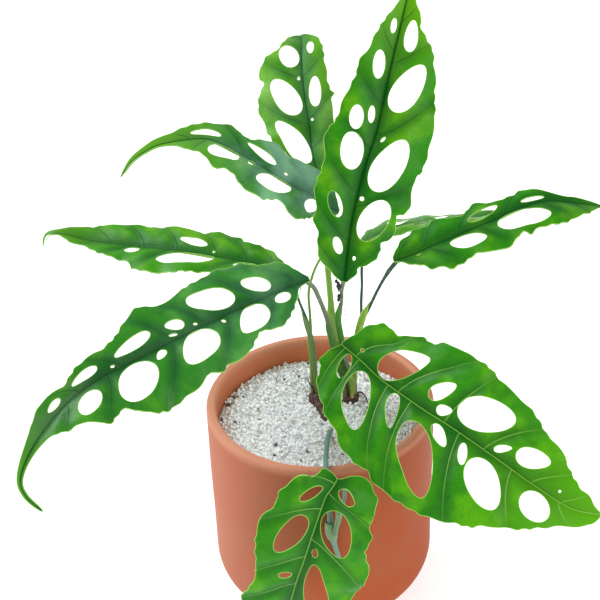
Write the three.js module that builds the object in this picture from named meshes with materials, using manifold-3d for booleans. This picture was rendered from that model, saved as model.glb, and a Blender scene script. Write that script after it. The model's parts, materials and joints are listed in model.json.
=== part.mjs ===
import * as THREE from "three";
import { mergeVertices } from "three/addons/utils/BufferGeometryUtils.js";
import Module from "manifold-3d";

const wasm = await Module();
wasm.setup();

// A small-leaved climbing aroid with perforated leaves, in a round terracotta pot with white granules
// on its soil. Millimetres, +Z up, the origin on the table under the middle of the pot, the viewer at -Y.

// Pot
const POT_HEIGHT = 118;
const POT_RADIUS = 57.5;
const POT_WALL = 5;
const LIP_RADIUS = 2;
const FOOT_RADIUS = 42;
const FOOT_HEIGHT = 6.5;
const SHOULDER_RADIUS = 20;
const FLOOR_THICKNESS = 9;

// What fills the pot
const GAP = 0.3;
const SOIL_TOP = 98;
const GRANULE_TOP = 106.5;
const GRANULE_RELIEF = 0.9;

// Leaves
const BLADE_THICKNESS = 0.8;
const BLADE_CROWN = 0.44;
const MARGIN_WAVE = 1.1;
const MARGIN_WAVE_LENGTH = 21;
const KEEL_DEPTH = 0.9;
const KEEL_HALF_WIDTH = 2.2;
const BASE_HALF_WIDTH = 1.3;
const MARGIN_STEP = 5;
const HOLE_STEP = 4.4;
const SHEET_STEP = 8;
const SHEET_ROUNDS = 8;

// Leaf stalks
const STALK_FOOT_RADIUS = 1;
const STALK_SHEATH_RADIUS = 1.35;
const STALK_RADIUS = 0.85;
const STALK_KNEE_RADIUS = 1.1;
const STALK_SIDES = 8;
const STALK_STEP = 8;

const COLORS = {
  terracotta: 0xc27a58,
  soil: 0x3a2c22,
  granules: 0xe4e4e4,
  bark: 0x5a4338,
  stem: 0x6f9080,
  stalk: 0x7da24a,
  blade: 0x2f8a1c,
};

// Each leaf: rib is the midrib from the stalk to the tip; face is the way the upper side looks at the
// base and at the tip; left and right are the margin as [distance along the rib, distance from it];
// holes are [along, across (right is +), length, width, turn in degrees, how pointed the outer end is].
const LEAVES = [
  {
    name: "upright",
    half: 24,
    face: [[-0.04, -0.85, 0.5], [-0.04, -0.87, 0.46]],
    rib: [[13, -8, 191], [15, -3, 205], [18, 5, 220], [24, 15, 239], [30, 24, 253], [36, 36, 274],
      [42, 48, 293], [47, 55, 311]],
    left: [[3, 5], [10, 12], [14, 14], [23, 15], [26, 18], [31, 17], [35, 19], [41, 20], [52, 19],
      [61, 22], [65, 22], [71, 20], [84, 18], [95, 15], [101, 15], [108, 12], [120, 9], [131, 4]],
    right: [[2, 3], [5, 6], [8, 6], [11, 12], [16, 15], [20, 15], [22, 18], [28, 21], [35, 20], [38, 24],
      [43, 25], [55, 24], [63, 26], [83, 25], [93, 23], [103, 21], [108, 19], [114, 17], [122, 10],
      [126, 9], [135, 4]],
    holes: [[17, -4.8, 8, 4, -23, 0], [35, -9, 12, 6, -30, 0], [60, -8, 17, 10.5, -18, 0],
      [76, -10.5, 12, 6.5, -7, 0], [79, -4, 8, 3, -7, 0], [102, -5.5, 13, 5.5, -8, 0],
      [121, -3, 7, 2.6, -4, 0], [31, 10, 22, 13, 20, 0], [58, 10.5, 27, 14, 16, 0.1],
      [94, 10, 25, 12.5, 22, 0.2], [118, 6, 15, 6, -5, 0.2]],
    stalk: [[16, 14, 104], [15.8, 13.8, 118], [14, 13.4, 130], [12, 12.4, 145], [11, 9, 159], [12, 3, 174],
      [12, -3, 184]],
  },
  {
    name: "front_right",
    half: 36,
    face: [[0, -0.8, 0.6], [0.15, -0.85, 0.5]],
    rib: [[11, -20, 164], [20, -30, 161], [29, -40, 157], [46, -57, 153], [58, -67, 150], [78, -83, 143],
      [90, -92, 138], [106, -101, 131], [119, -105, 130]],
    left: [[2, 5], [4, 9], [7, 15], [12, 20], [18, 20], [22, 22], [32, 27], [39, 27], [46, 31], [63, 32],
      [70, 31], [77, 29], [94, 26], [105, 21], [112, 20], [120, 15], [128, 11], [137, 8], [141, 3]],
    right: [[-2, 7], [-1, 13], [2, 15], [5, 21], [10, 25], [17, 27], [21, 30], [26, 31], [32, 36], [43, 38],
      [47, 37], [52, 40], [66, 41], [82, 39], [94, 34], [102, 31], [107, 26], [117, 20], [125, 13],
      [130, 9], [136, 6], [141, 4]],
    holes: [[33, -11.5, 27, 13, -39, 0.35], [57, -11.5, 14, 7, -49, 0.3], [62, -4.5, 7, 4.4, -30, 0.3],
      [79, -13, 26, 15, -22, 0.15], [93, -5, 8, 3, -37, 0.3], [106, -9, 15, 8.5, -22, 0.2],
      [10, 7, 13, 5.5, 62, 0], [26, 14.5, 27, 12, 56, 0.1], [42, 8.5, 17, 5.6, 57, 0.4],
      [64, 20.5, 35, 15.5, 46, 0.15], [66.5, 6, 12, 5, 29, 0.2], [80, 7, 10, 4, 57, 0],
      [95, 12.5, 24, 14, 33, 0.1], [117.5, 7.5, 14, 11.5, 15, 0]],
    stalk: [[17, 11.8, 104], [17, 11, 117], [15.5, 5, 131], [13, -5, 146], [11.6, -13, 156]],
  },
  {
    name: "front_left",
    half: 25,
    face: [[-0.1, -0.5, 0.85], [0, -0.6, 0.8]],
    rib: [[-3, -8, 193], [-13, -16, 194], [-31, -30, 194], [-48, -44, 194], [-81, -72, 193], [-95, -86, 193],
      [-107, -98, 188], [-117, -109, 179], [-123, -114, 167], [-122, -115, 158], [-116, -115, 149]],
    left: [[8, 3], [11, 5], [17, 11], [21, 14], [28, 18], [35, 18], [39, 16], [44, 18], [53, 23], [63, 23],
      [69, 25], [74, 23], [88, 27], [101, 27], [111, 25], [119, 19], [129, 20], [135, 13], [142, 10],
      [149, 5], [159, 2.5], [172, 1.4], [186, 1]],
    right: [[3, 4], [6, 8], [11, 14], [16, 14], [23, 18], [28, 22], [43, 22], [52, 22], [62, 19], [72, 18],
      [81, 21], [87, 20], [94, 16], [101, 12], [109, 10], [117, 10], [124, 8], [130, 6], [138, 8],
      [146, 6], [157, 3], [172, 1.4], [186, 1]],
    holes: [[27, 7, 14, 7, 31, 0.1], [51, 9, 23, 11, 18, 0.1], [73, 5.5, 9, 4.6, 17, 0.2],
      [95, 6, 20, 5, -8, 0.3], [121, 4, 13, 3.4, -3, 0.4], [138, 3, 7, 2.6, -4, 0.2],
      [20, -5, 9, 6, -21, 0], [40, -9, 21, 11.5, -28, 0.35], [70, -9.5, 22, 14, -26, 0.25],
      [87, -4.5, 7, 3.4, -30, 0.3], [104.5, -11, 25, 15, -26, 0.1], [127.5, -7.5, 13, 8.5, -20, 0]],
    stalk: [[13.7, 13.2, 104], [12.8, 12.7, 118], [10.4, 11.6, 128], [8, 10.6, 140], [7, 10, 149], [5, 7, 160],
      [3, 4, 169], [1, 1, 177], [-1.2, -4, 186]],
  },
  {
    name: "left",
    half: 21,
    face: [[0, -0.1, 1], [0, -0.1, 1]],
    rib: [[-15, 8, 191], [-26, 12, 190], [-42, 17, 191], [-67, 25, 192], [-88, 32, 191], [-102, 36, 191],
      [-115, 40, 191], [-127, 43, 193], [-135, 44, 192], [-138, 44, 185]],
    left: [[3, 4], [8, 9], [15, 12], [22, 13], [28, 16], [35, 15], [45, 18], [50, 20], [60, 20], [65, 21],
      [71, 20], [77, 15], [82, 15.5], [93, 12], [103, 8], [112, 7], [119, 3], [127, 1.4], [131, 1]],
    right: [[2, 3], [5, 5], [10, 9], [18, 12], [24, 12], [29, 16], [36, 17], [46, 14], [53, 16], [58, 15],
      [67, 16], [76, 14], [92, 13], [105, 8], [114, 5], [120, 2.4], [127, 1.4], [131, 1]],
    holes: [[49, 6, 15, 4.5, 8, 0.1], [77, -6.5, 8, 5, -12, 0.1], [48, -8, 28, 9.5, -17, 0.1],
      [19, -5, 11, 5, -24, 0.2]],
    stalk: [[-1.4, 16.2, 103], [-1.7, 15.4, 122], [-2.6, 14.2, 141], [-4.8, 13, 155], [-8, 12, 166],
      [-10, 11.2, 174], [-12.4, 9.6, 183]],
  },
  {
    name: "rear_left",
    half: 20,
    face: [[0.3, -0.35, 0.9], [0, -0.2, 1]],
    rib: [[12, 34, 205], [0, 34, 215], [-9, 33, 221], [-26, 30, 235], [-37, 27, 244], [-47, 24, 251],
      [-56, 21, 253], [-68, 15, 254], [-74, 12, 253], [-82, 8, 249], [-88, 5, 242]],
    left: [[2, 4], [6, 10], [13, 14], [19, 18], [25, 21], [29, 20], [34, 16], [39, 18], [46, 22], [54, 21],
      [66, 19], [78, 19], [84, 14], [91, 10], [97, 5], [106, 2.6], [116, 1.6]],
    right: [[2, 3], [6, 8], [11, 13], [17, 16], [30, 17], [36, 19], [45, 18], [55, 11], [61, 11], [66, 14],
      [77, 9], [89, 6], [97, 4], [106, 2.6], [116, 1.6]],
    holes: [[78, 3.4, 14, 3, -4, 0.2], [48, 6, 17, 5, 9, 0.1], [71, -8, 19, 9.5, -22, 0.15],
      [54, -4.4, 6, 2.6, -40, 0], [40.5, -9, 23, 10, -24, 0.1], [17, -9, 12, 7, -54, 0]],
    stalk: [[-3.4, 17.8, 103], [-3.2, 17.6, 120], [-3.4, 17.5, 139], [-3.6, 17.5, 156], [-4, 18, 168],
      [-2.8, 19, 175], [0, 22.5, 181.5], [4, 27, 187], [8, 31.5, 195]],
  },
  {
    name: "rear_upper",
    half: 20,
    face: [[0, -0.9, 0.43], [0, -0.8, 0.6]],
    rib: [[4, 52, 211], [0, 62, 224], [-1, 70, 234], [-3, 79, 246], [-4, 90, 257], [-4, 99, 263],
      [-4, 108, 265], [-5, 118, 265]],
    left: [[2, 3], [8, 9], [16, 15], [24, 19], [29, 21], [35, 22], [43, 24], [49, 23], [55, 20], [58, 22],
      [63, 21], [68, 18], [71, 13], [78, 9], [85, 7]],
    right: [[2, 3], [8, 7], [16, 10], [25, 12], [33, 13], [41, 13], [46, 15], [49, 13], [60, 12], [72, 11],
      [79, 9], [85, 5]],
    holes: [[68, -6.4, 13, 10, -14, 0], [47, -9.5, 21, 11.5, -33, 0.15], [24.5, -9, 27, 10, -31, 0.2],
      [74, 4.4, 9, 3.6, -2, 0], [48, 5.5, 16, 6, 5, 0.1]],
    stalk: [[14.9, 16.3, 104], [14.2, 16.8, 118], [12, 17, 128], [9.5, 18, 138], [8, 22, 150], [7, 27, 159],
      [6, 35, 173], [5, 43, 188], [4.4, 49, 202]],
  },
  {
    name: "right",
    half: 19,
    face: [[-0.1, -0.2, 1], [0.1, -0.2, 1]],
    rib: [[37, 5, 194], [44, 7, 195], [58, 11, 199], [72, 15, 203], [85, 18, 207], [99, 21, 212],
      [112, 23, 214], [127, 25, 211], [139, 25, 209]],
    left: [[2, 4], [7, 9], [12, 11], [16, 14], [22, 12], [27, 14], [31, 13], [36, 10], [41, 10], [46, 13],
      [50, 13], [55, 9], [65, 8], [69, 9], [76, 7], [81, 5], [88, 3], [95, 3]],
    right: [[3, 4], [6, 8], [10, 10], [14, 15], [19, 17], [22, 20], [28, 18], [35, 17], [47, 20], [60, 17],
      [64, 20], [70, 17], [80, 18], [85, 17], [89, 14], [94, 11], [99, 9], [104, 4]],
    holes: [[49, -5, 16, 4.6, -6, 0.1], [73, -2.4, 11, 2, 2, 0], [36, 8, 18, 9, 17, 0.1],
      [65, 8.5, 26, 12, 13, 0.2]],
    stalk: [[18.3, 13.9, 104], [18.4, 13.9, 121], [19, 14, 137], [20.4, 14, 146], [23, 13, 156],
      [26, 12, 164], [29, 10, 173], [32, 8, 181], [35, 6, 188]],
  },
  {
    name: "rear_right",
    half: 17,
    face: [[0, 0.36, 0.93], [0, 0.36, 0.93]],
    rib: [[23, 36, 186], [32, 40, 188], [39, 44, 189], [49, 50, 188], [65, 60, 184], [83, 72, 178],
      [96, 80, 177], [102, 84, 175]],
    left: [[3, 5], [9, 11], [17, 15], [24, 15], [30, 17], [44, 16], [52, 17], [60, 14], [70, 11], [80, 7],
      [88, 3]],
    right: [[3, 5], [9, 11], [16, 15], [25, 17], [33, 16], [40, 18], [52, 16], [60, 15], [68, 11], [79, 7],
      [88, 3]],
    holes: [[28, -7.5, 18, 8, -22, 0.1], [55, -6.5, 15, 6, -18, 0.2], [24, 7.5, 15, 7, 26, 0],
      [47, 8, 19, 8, 20, 0.2], [68, 4.6, 11, 3.6, 12, 0.2]],
    stalk: [[17.1, 16.3, 104], [18, 16.9, 116], [20, 18, 134], [22, 20.5, 152], [22.3, 23.5, 160],
      [22.8, 26, 168], [23, 30, 176]],
  },
  {
    name: "runner",
    half: 28,
    face: [[0, -0.95, 0.3], [0, -1, 0.05]],
    rib: [[7, -74, 128], [6, -76, 127], [4, -78, 125], [1, -80, 121], [-4, -86, 109], [-7, -88, 100],
      [-10, -89, 90], [-13, -89, 80], [-16, -88, 67], [-19, -86, 53], [-22, -83, 35]],
    left: [[-2, 3.5], [-5, 8], [-4, 14], [-1, 18], [3, 22], [8, 23], [18, 24], [22, 26], [29, 25],
      [36, 28], [41, 30], [53, 30], [63, 26], [70, 22], [82, 17], [93, 9], [100, 4]],
    right: [[-0.5, 4], [0, 8], [5, 11], [9, 17], [14, 21], [20, 21], [24, 24], [33, 25], [43, 23],
      [49, 21], [58, 20], [68, 23], [74, 23], [81, 21], [87, 17], [93, 10], [100, 4]],
    holes: [[11, 7.5, 10, 4, 46, 0], [30, 10, 20, 10.5, 26, 0.1], [52, 6.5, 6, 3.6, 80, 0],
      [5, -7.5, 9, 4, -80, 0.2], [25, -10, 23, 13, -29, 0.15], [37, -3.4, 4.4, 2.6, -12, 0],
      [59, -9.5, 34, 11, -16, -0.25]],
    stalk: [[5.4, -64, 85], [8, -65, 98], [10, -68.6, 112], [10.2, -70, 121], [9, -71, 126.4]],
  },
];

// A solid from a closed geometry, and a geometry from a solid
function solidOf(geometry) {
  const bare = geometry.clone();
  bare.deleteAttribute("normal");
  bare.deleteAttribute("uv");
  const merged = mergeVertices(bare, 1e-4);
  const mesh = new wasm.Mesh({
    numProp: 3,
    vertProperties: new Float32Array(merged.attributes.position.array),
    triVerts: new Uint32Array(merged.index.array),
  });
  return new wasm.Manifold(mesh);
}

function geometryOf(solid) {
  const mesh = solid.getMesh();
  const geometry = new THREE.BufferGeometry();
  geometry.setAttribute("position", new THREE.BufferAttribute(mesh.vertProperties, 3));
  geometry.setIndex(new THREE.BufferAttribute(mesh.triVerts, 1));
  return geometry;
}

function cutBy(geometry, tools) {
  const left = tools.reduce((solid, tool) => solid.subtract(solidOf(tool)), solidOf(geometry));
  return geometryOf(left);
}

function named(name, geometry, color, roughness) {
  const material = new THREE.MeshStandardMaterial({ color, roughness, metalness: 0 });
  const mesh = new THREE.Mesh(geometry, material);
  mesh.name = name;
  return mesh;
}

const vector = (point) => new THREE.Vector3(...point);

function curveThrough(points) {
  return new THREE.CatmullRomCurve3(points.map(vector), false, "catmullrom", 0.5);
}

// A round bar bent along a curve; radiusAt gives its radius from 0 at the start to 1 at the end
function bentBar(curve, radiusAt, sides, steps) {
  const bar = new THREE.CylinderGeometry(1, 1, 1, sides, steps);
  const frames = curve.computeFrenetFrames(steps, false);
  const place = bar.attributes.position;
  for (let i = 0; i < place.count; i += 1) {
    const ring = Math.round((place.getY(i) + 0.5) * steps);
    const radius = radiusAt(ring / steps);
    const spot = curve.getPointAt(ring / steps);
    spot.addScaledVector(frames.normals[ring], place.getX(i) * radius);
    spot.addScaledVector(frames.binormals[ring], -place.getZ(i) * radius);
    place.setXYZ(i, spot.x, spot.y, spot.z);
  }
  return bar;
}

function arc(cx, cy, radius, fromDegrees, toDegrees, steps) {
  const turn = THREE.MathUtils.degToRad;
  return Array.from({ length: steps + 1 }, (_, i) => {
    const angle = turn(THREE.MathUtils.lerp(fromDegrees, toDegrees, i / steps));
    return new THREE.Vector2(cx + radius * Math.cos(angle), cy + radius * Math.sin(angle));
  });
}

// A profile of (radius, height) points turned about the vertical axis
function turned(profile, segments) {
  return new THREE.LatheGeometry(profile, segments).rotateX(Math.PI / 2);
}

// Pot: a straight wall on a rounded shoulder and a small foot, with a rounded lip
const INNER_RADIUS = POT_RADIUS - POT_WALL;
const SHOULDER_HEIGHT = FOOT_HEIGHT + SHOULDER_RADIUS;
const INNER_SHOULDER = SHOULDER_HEIGHT - FLOOR_THICKNESS;

function potGeometry() {
  const profile = [
    new THREE.Vector2(0, 0),
    new THREE.Vector2(FOOT_RADIUS - 1, 0),
    new THREE.Vector2(FOOT_RADIUS, 1),
    new THREE.Vector2(FOOT_RADIUS, FOOT_HEIGHT),
    ...arc(POT_RADIUS - SHOULDER_RADIUS, SHOULDER_HEIGHT, SHOULDER_RADIUS, -68, 0, 5),
    ...arc(POT_RADIUS - LIP_RADIUS, POT_HEIGHT - LIP_RADIUS, LIP_RADIUS, 0, 90, 3),
    ...arc(INNER_RADIUS + LIP_RADIUS, POT_HEIGHT - LIP_RADIUS, LIP_RADIUS, 90, 180, 3),
    ...arc(INNER_RADIUS - INNER_SHOULDER, SHOULDER_HEIGHT, INNER_SHOULDER, 0, -90, 4),
    new THREE.Vector2(0, FLOOR_THICKNESS),
  ];
  return turned(profile, 40);
}

// Soil: fills the pot up to the granules
function soilGeometry(tools) {
  const radius = INNER_SHOULDER - GAP;
  const profile = [
    new THREE.Vector2(0, FLOOR_THICKNESS + GAP),
    ...arc(INNER_RADIUS - INNER_SHOULDER, SHOULDER_HEIGHT, radius, -90, 0, 4),
    new THREE.Vector2(INNER_RADIUS - GAP, SOIL_TOP),
    new THREE.Vector2(0, SOIL_TOP),
  ];
  return cutBy(turned(profile, 32), tools);
}

// White granules: a layer whose top is lumpy and dips a little at the wall
function granuleGeometry(tools) {
  const bottom = SOIL_TOP + GAP;
  const rings = 11;
  const top = Array.from({ length: rings + 1 }, (_, i) => {
    const radius = (INNER_RADIUS - GAP) * (1 - i / rings);
    const dip = i === 0 ? 2 : 0;
    return new THREE.Vector2(radius, GRANULE_TOP - dip);
  });
  const profile = [new THREE.Vector2(0, bottom), new THREE.Vector2(INNER_RADIUS - GAP, bottom), ...top];
  const layer = turned(profile, 32);
  const place = layer.attributes.position;
  for (let i = 0; i < place.count; i += 1) {
    const [x, y, z] = [place.getX(i), place.getY(i), place.getZ(i)];
    const lump = Math.sin(0.71 * x + 2.1) * Math.sin(0.83 * y - 0.6) + 0.5 * Math.sin(1.7 * x - 1.3 * y);
    place.setZ(i, z > bottom + 1 ? z + lump * GRANULE_RELIEF : z);
  }
  return cutBy(layer, tools);
}

// Rootstock: a short creeping stem. It holds one bundle of stalks at the right, dips under the
// granules, comes up at the left with two more stalks and lies on the granules towards the viewer.
const ROOTSTOCK_PATH = [[16, 14, 110.5], [16, 14.2, 104], [12, 16.5, 98.5], [5, 19, 98], [-1.5, 19.5, 101.5],
  [-2.4, 16.5, 105.6], [0, 8, 106.6], [3, 0, 106], [5, -5, 102.5]];
const ROOTSTOCK_RADII = [4.1, 4.3, 3.2, 3, 3.4, 3.9, 2.7, 2.6, 2.3];
const ROOT_PATH = [[18, 15, 106.5], [21, 15.6, 109.2], [23.6, 12.4, 108.8], [24.6, 9, 107.2]];

function rootstockBar(extra) {
  const count = ROOTSTOCK_RADII.length - 1;
  const radiusAt = (t) => {
    const i = Math.min(Math.floor(t * count), count - 1);
    const ringed = 0.18 * Math.sin(t * 60);
    return THREE.MathUtils.lerp(ROOTSTOCK_RADII[i], ROOTSTOCK_RADII[i + 1], t * count - i) + ringed + extra;
  };
  return bentBar(curveThrough(ROOTSTOCK_PATH), radiusAt, 10, 22);
}

function rootBar(extra) {
  return bentBar(curveThrough(ROOT_PATH), (t) => THREE.MathUtils.lerp(0.7, 0.45, t) + extra, 6, 8);
}

function rootstockGeometry(tools) {
  return cutBy(geometryOf(solidOf(rootstockBar(0)).add(solidOf(rootBar(0)))), tools);
}

// Runner: a bluish stem from the rootstock over the rim and down the front of the pot, with a
// swollen joint that bears one leaf, and a growing tip
const RUNNER_PATH = [[5.6, -8, 102], [5, -13, 106.5], [3.4, -24, 110.5], [2.4, -40, 115.4], [2, -51, 119.6],
  [2, -57.5, 120.2], [2.2, -60.6, 116], [2.6, -60.8, 106], [3, -61, 96], [3.8, -61.2, 84], [5, -61, 76],
  [7, -60.4, 66], [8.4, -60, 57]];
const RUNNER_RADIUS = 1.25;
const RUNNER_JOINT = 0.77;
const RUNNER_JOINT_SWELL = 1;

function runnerBar(extra) {
  const radiusAt = (t) => {
    const swell = RUNNER_JOINT_SWELL * Math.exp(-(((t - RUNNER_JOINT) / 0.035) ** 2));
    const tip = Math.min(1, (1.02 - t) / 0.07);
    return (RUNNER_RADIUS + swell) * tip + extra;
  };
  return bentBar(curveThrough(RUNNER_PATH), radiusAt, 8, 40);
}

// The curved surface of a leaf blade, in leaf coordinates: along the midrib, across it and off it
class LeafSurface {
  constructor(leaf) {
    this.rib = curveThrough(leaf.rib);
    this.length = this.rib.getLength();
    this.half = leaf.half;
    this.faces = leaf.face.map(vector);
  }

  frameAt(along) {
    const share = THREE.MathUtils.clamp(along / this.length, 0, 1);
    const forward = this.rib.getTangentAt(share);
    const up = this.faces[0].clone().lerp(this.faces[1], share);
    up.addScaledVector(forward, -up.dot(forward)).normalize();
    const sideways = new THREE.Vector3().crossVectors(forward, up);
    return { share, forward, up, sideways };
  }

  // Each half blade rises from the rib and turns down again, and its margin is wavy
  reliefAt(along, across) {
    const out = Math.abs(across);
    const crown = BLADE_CROWN * out * (1 - out / this.half);
    const phase = (2 * Math.PI * along) / MARGIN_WAVE_LENGTH + (across > 0 ? 1.7 : 0);
    const ends = Math.min(1, Math.max(0, along / 15)) * Math.min(1, Math.max(0, (this.length - along) / 40));
    return crown + MARGIN_WAVE * Math.sin(phase) * Math.min(out / this.half, 1.1) ** 2 * ends;
  }

  pointAt(along, across, off) {
    const { share, forward, up, sideways } = this.frameAt(along);
    const point = this.rib.getPointAt(share);
    point.addScaledVector(forward, along - share * this.length);
    point.addScaledVector(sideways, across);
    return point.addScaledVector(up, this.reliefAt(along, across) + off);
  }

  // How far the midrib stands out from the underside
  keelAt(along, across) {
    const taper = THREE.MathUtils.clamp(1 - along / this.length, 0, 1);
    return KEEL_DEPTH * taper * Math.max(0, 1 - Math.abs(across) / KEEL_HALF_WIDTH);
  }
}

function marginOf(leaf, length) {
  const points = [
    [0, -BASE_HALF_WIDTH],
    ...leaf.left.map(([along, out]) => [along, -out]),
    [length, 0],
    ...leaf.right.toReversed(),
    [0, BASE_HALF_WIDTH],
  ].map(([along, across]) => new THREE.Vector2(along, across));
  const curve = new THREE.SplineCurve(points);
  return curve.getSpacedPoints(Math.round(curve.getLength() / MARGIN_STEP));
}

function holeOutline([along, across, long, wide, degrees, pointed]) {
  const count = Math.max(7, Math.round((Math.PI * (long + wide)) / 2 / HOLE_STEP));
  const turn = THREE.MathUtils.degToRad(degrees);
  return Array.from({ length: count }, (_, i) => {
    const angle = (2 * Math.PI * i) / count;
    const x = (long / 2) * Math.cos(angle);
    const y = (wide / 2) * Math.sin(angle) * (1 - pointed * Math.cos(angle));
    return new THREE.Vector2(x, y).rotateAround(new THREE.Vector2(), turn).add(new THREE.Vector2(along, across));
  });
}

function insideLoops(x, y, loops) {
  let inside = false;
  for (const loop of loops) {
    for (let i = 0; i < loop.length; i += 1) {
      const a = loop[i];
      const b = loop[(i + 1) % loop.length];
      if (a.y > y !== b.y > y && x < a.x + ((y - a.y) / (b.y - a.y)) * (b.x - a.x)) {
        inside = !inside;
      }
    }
  }
  return inside;
}

// Points between the margin and the holes: rows along the midrib and its keel, then wider rows
function sheetPoints(loops, length, half) {
  const border = loops.flat();
  const rows = [0, KEEL_HALF_WIDTH];
  for (let out = KEEL_HALF_WIDTH + SHEET_STEP; out < half * 1.5; out += SHEET_STEP) {
    rows.push(out);
  }
  const points = [];
  rows.flatMap((out) => (out ? [out, -out] : [0])).forEach((across, row) => {
    const clear = Math.abs(across) > KEEL_HALF_WIDTH ? SHEET_STEP * 0.45 : KEEL_HALF_WIDTH * 0.6;
    for (let along = 2 + (row % 2) * (SHEET_STEP / 2); along < length - 2; along += SHEET_STEP) {
      const spot = new THREE.Vector2(along, across);
      if (insideLoops(along, across, loops) && border.every((p) => p.distanceTo(spot) > clear)) {
        points.push(spot);
      }
    }
  });
  return points;
}

function circleAround(points, [i, j, k]) {
  const [a, b, c] = [points[i], points[j], points[k]];
  const [bx, by, cx, cy] = [b.x - a.x, b.y - a.y, c.x - a.x, c.y - a.y];
  const d = 2 * (bx * cy - by * cx);
  const x = (cy * (bx * bx + by * by) - by * (cx * cx + cy * cy)) / d;
  const y = (bx * (cx * cx + cy * cy) - cx * (bx * bx + by * by)) / d;
  return { x: a.x + x, y: a.y + y, squared: x * x + y * y };
}

const edgeKey = (i, j) => (i < j ? `${i},${j}` : `${j},${i}`);

const edgesOf = ([i, j, k]) => [[i, j], [j, k], [k, i]];

// Delaunay triangles of a set of points, added one at a time inside one large triangle
function delaunay(given) {
  const far = 4000;
  const corners = [new THREE.Vector2(-far, -far), new THREE.Vector2(far, -far), new THREE.Vector2(0, far)];
  const points = [...given, ...corners].map((p, i) => {
    const shake = i < given.length ? 0.004 : 0;
    return new THREE.Vector2(p.x + shake * Math.sin(12.9 * i), p.y + shake * Math.cos(78.2 * i));
  });
  const first = [given.length, given.length + 1, given.length + 2];
  let triangles = [{ corners: first, circle: circleAround(points, first) }];
  for (let n = 0; n < given.length; n += 1) {
    const point = points[n];
    const within = ({ circle }) => (point.x - circle.x) ** 2 + (point.y - circle.y) ** 2 < circle.squared;
    const opened = new Map();
    for (const [i, j] of triangles.filter(within).flatMap((triangle) => edgesOf(triangle.corners))) {
      const key = edgeKey(i, j);
      opened.set(key, opened.has(key) ? null : [i, j]);
    }
    const kept = triangles.filter((triangle) => !within(triangle));
    const added = [...opened.values()].filter(Boolean).map(([i, j]) => {
      const fresh = [i, j, n];
      return { corners: fresh, circle: circleAround(points, fresh) };
    });
    triangles = [...kept, ...added];
  }
  return triangles.map((triangle) => triangle.corners).filter((ids) => ids.every((i) => i < given.length));
}

// Flat triangles of a blade; a stretch of border that they miss is halved until all of it is there
function bladeSheet(leaf, surface) {
  let loops = [marginOf(leaf, surface.length), ...leaf.holes.map(holeOutline)];
  const inner = sheetPoints(loops, surface.length, surface.half);
  for (let round = 0; round < SHEET_ROUNDS; round += 1) {
    const points = [...loops.flat(), ...inner];
    const triangles = delaunay(points).filter((ids) => {
      const [x, y] = ["x", "y"].map((axis) => ids.reduce((sum, i) => sum + points[i][axis], 0) / 3);
      return insideLoops(x, y, loops);
    });
    const edges = new Set(triangles.flatMap(edgesOf).map(([i, j]) => edgeKey(i, j)));
    let start = 0;
    let missing = 0;
    const border = [];
    const next = loops.map((loop) => {
      const refined = loop.flatMap((point, i) => {
        const other = (i + 1) % loop.length;
        border.push([start + i, start + other]);
        if (edges.has(edgeKey(start + i, start + other))) {
          return [point];
        }
        missing += 1;
        return [point, point.clone().lerp(loop[other], 0.5)];
      });
      start += loop.length;
      return refined;
    });
    if (missing === 0) {
      return { points, triangles, border };
    }
    loops = next;
  }
  throw new Error(`the holes of ${leaf.name} cross each other or its margin`);
}

function bladeGeometry(leaf) {
  const surface = new LeafSurface(leaf);
  const { points, triangles } = bladeSheet(leaf, surface);
  const count = points.length;
  const top = points.map((p) => surface.pointAt(p.x, p.y, BLADE_THICKNESS / 2));
  const bottom = points.map((p) => {
    return surface.pointAt(p.x, p.y, -BLADE_THICKNESS / 2 - surface.keelAt(p.x, p.y));
  });
  const upward = triangles.map(([i, j, k]) => {
    const [a, b, c] = [points[i], points[j], points[k]];
    const turn = (b.x - a.x) * (c.y - a.y) - (b.y - a.y) * (c.x - a.x);
    return turn < 0 ? [i, j, k] : [i, k, j];
  });
  const seen = new Set(upward.flatMap(edgesOf).map(([i, j]) => `${i},${j}`));
  const open = upward.flatMap(edgesOf).filter(([i, j]) => !seen.has(`${j},${i}`));
  const faces = [
    ...upward,
    ...upward.map(([i, j, k]) => [i + count, k + count, j + count]),
    ...open.flatMap(([i, j]) => [[j, i, i + count], [j, i + count, j + count]]),
  ];
  const geometry = new THREE.BufferGeometry();
  geometry.setFromPoints([...top, ...bottom]);
  geometry.setIndex(faces.flat());
  return geometry;
}

// A stalk: clasping and thicker below, slim above, with a knee where it meets the blade. It stops
// just short of the blade, whether it comes from under it or from behind its base.
function stalkCurve(leaf) {
  const surface = new LeafSurface(leaf);
  const { forward, up } = surface.frameAt(0);
  const base = vector(leaf.rib[0]);
  const approach = base.clone().sub(vector(leaf.stalk.at(-1))).normalize();
  const stopFor = (axis, distance) => {
    const part = approach.dot(axis);
    const spread = STALK_KNEE_RADIUS * Math.sqrt(1 - part * part);
    return part > 0.1 ? (distance + spread) / part : Infinity;
  };
  const below = stopFor(up, BLADE_THICKNESS / 2 + KEEL_DEPTH + GAP);
  const behind = stopFor(forward, GAP);
  const end = base.addScaledVector(approach, -Math.min(below, behind));
  return curveThrough([...leaf.stalk, end.toArray()]);
}

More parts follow.
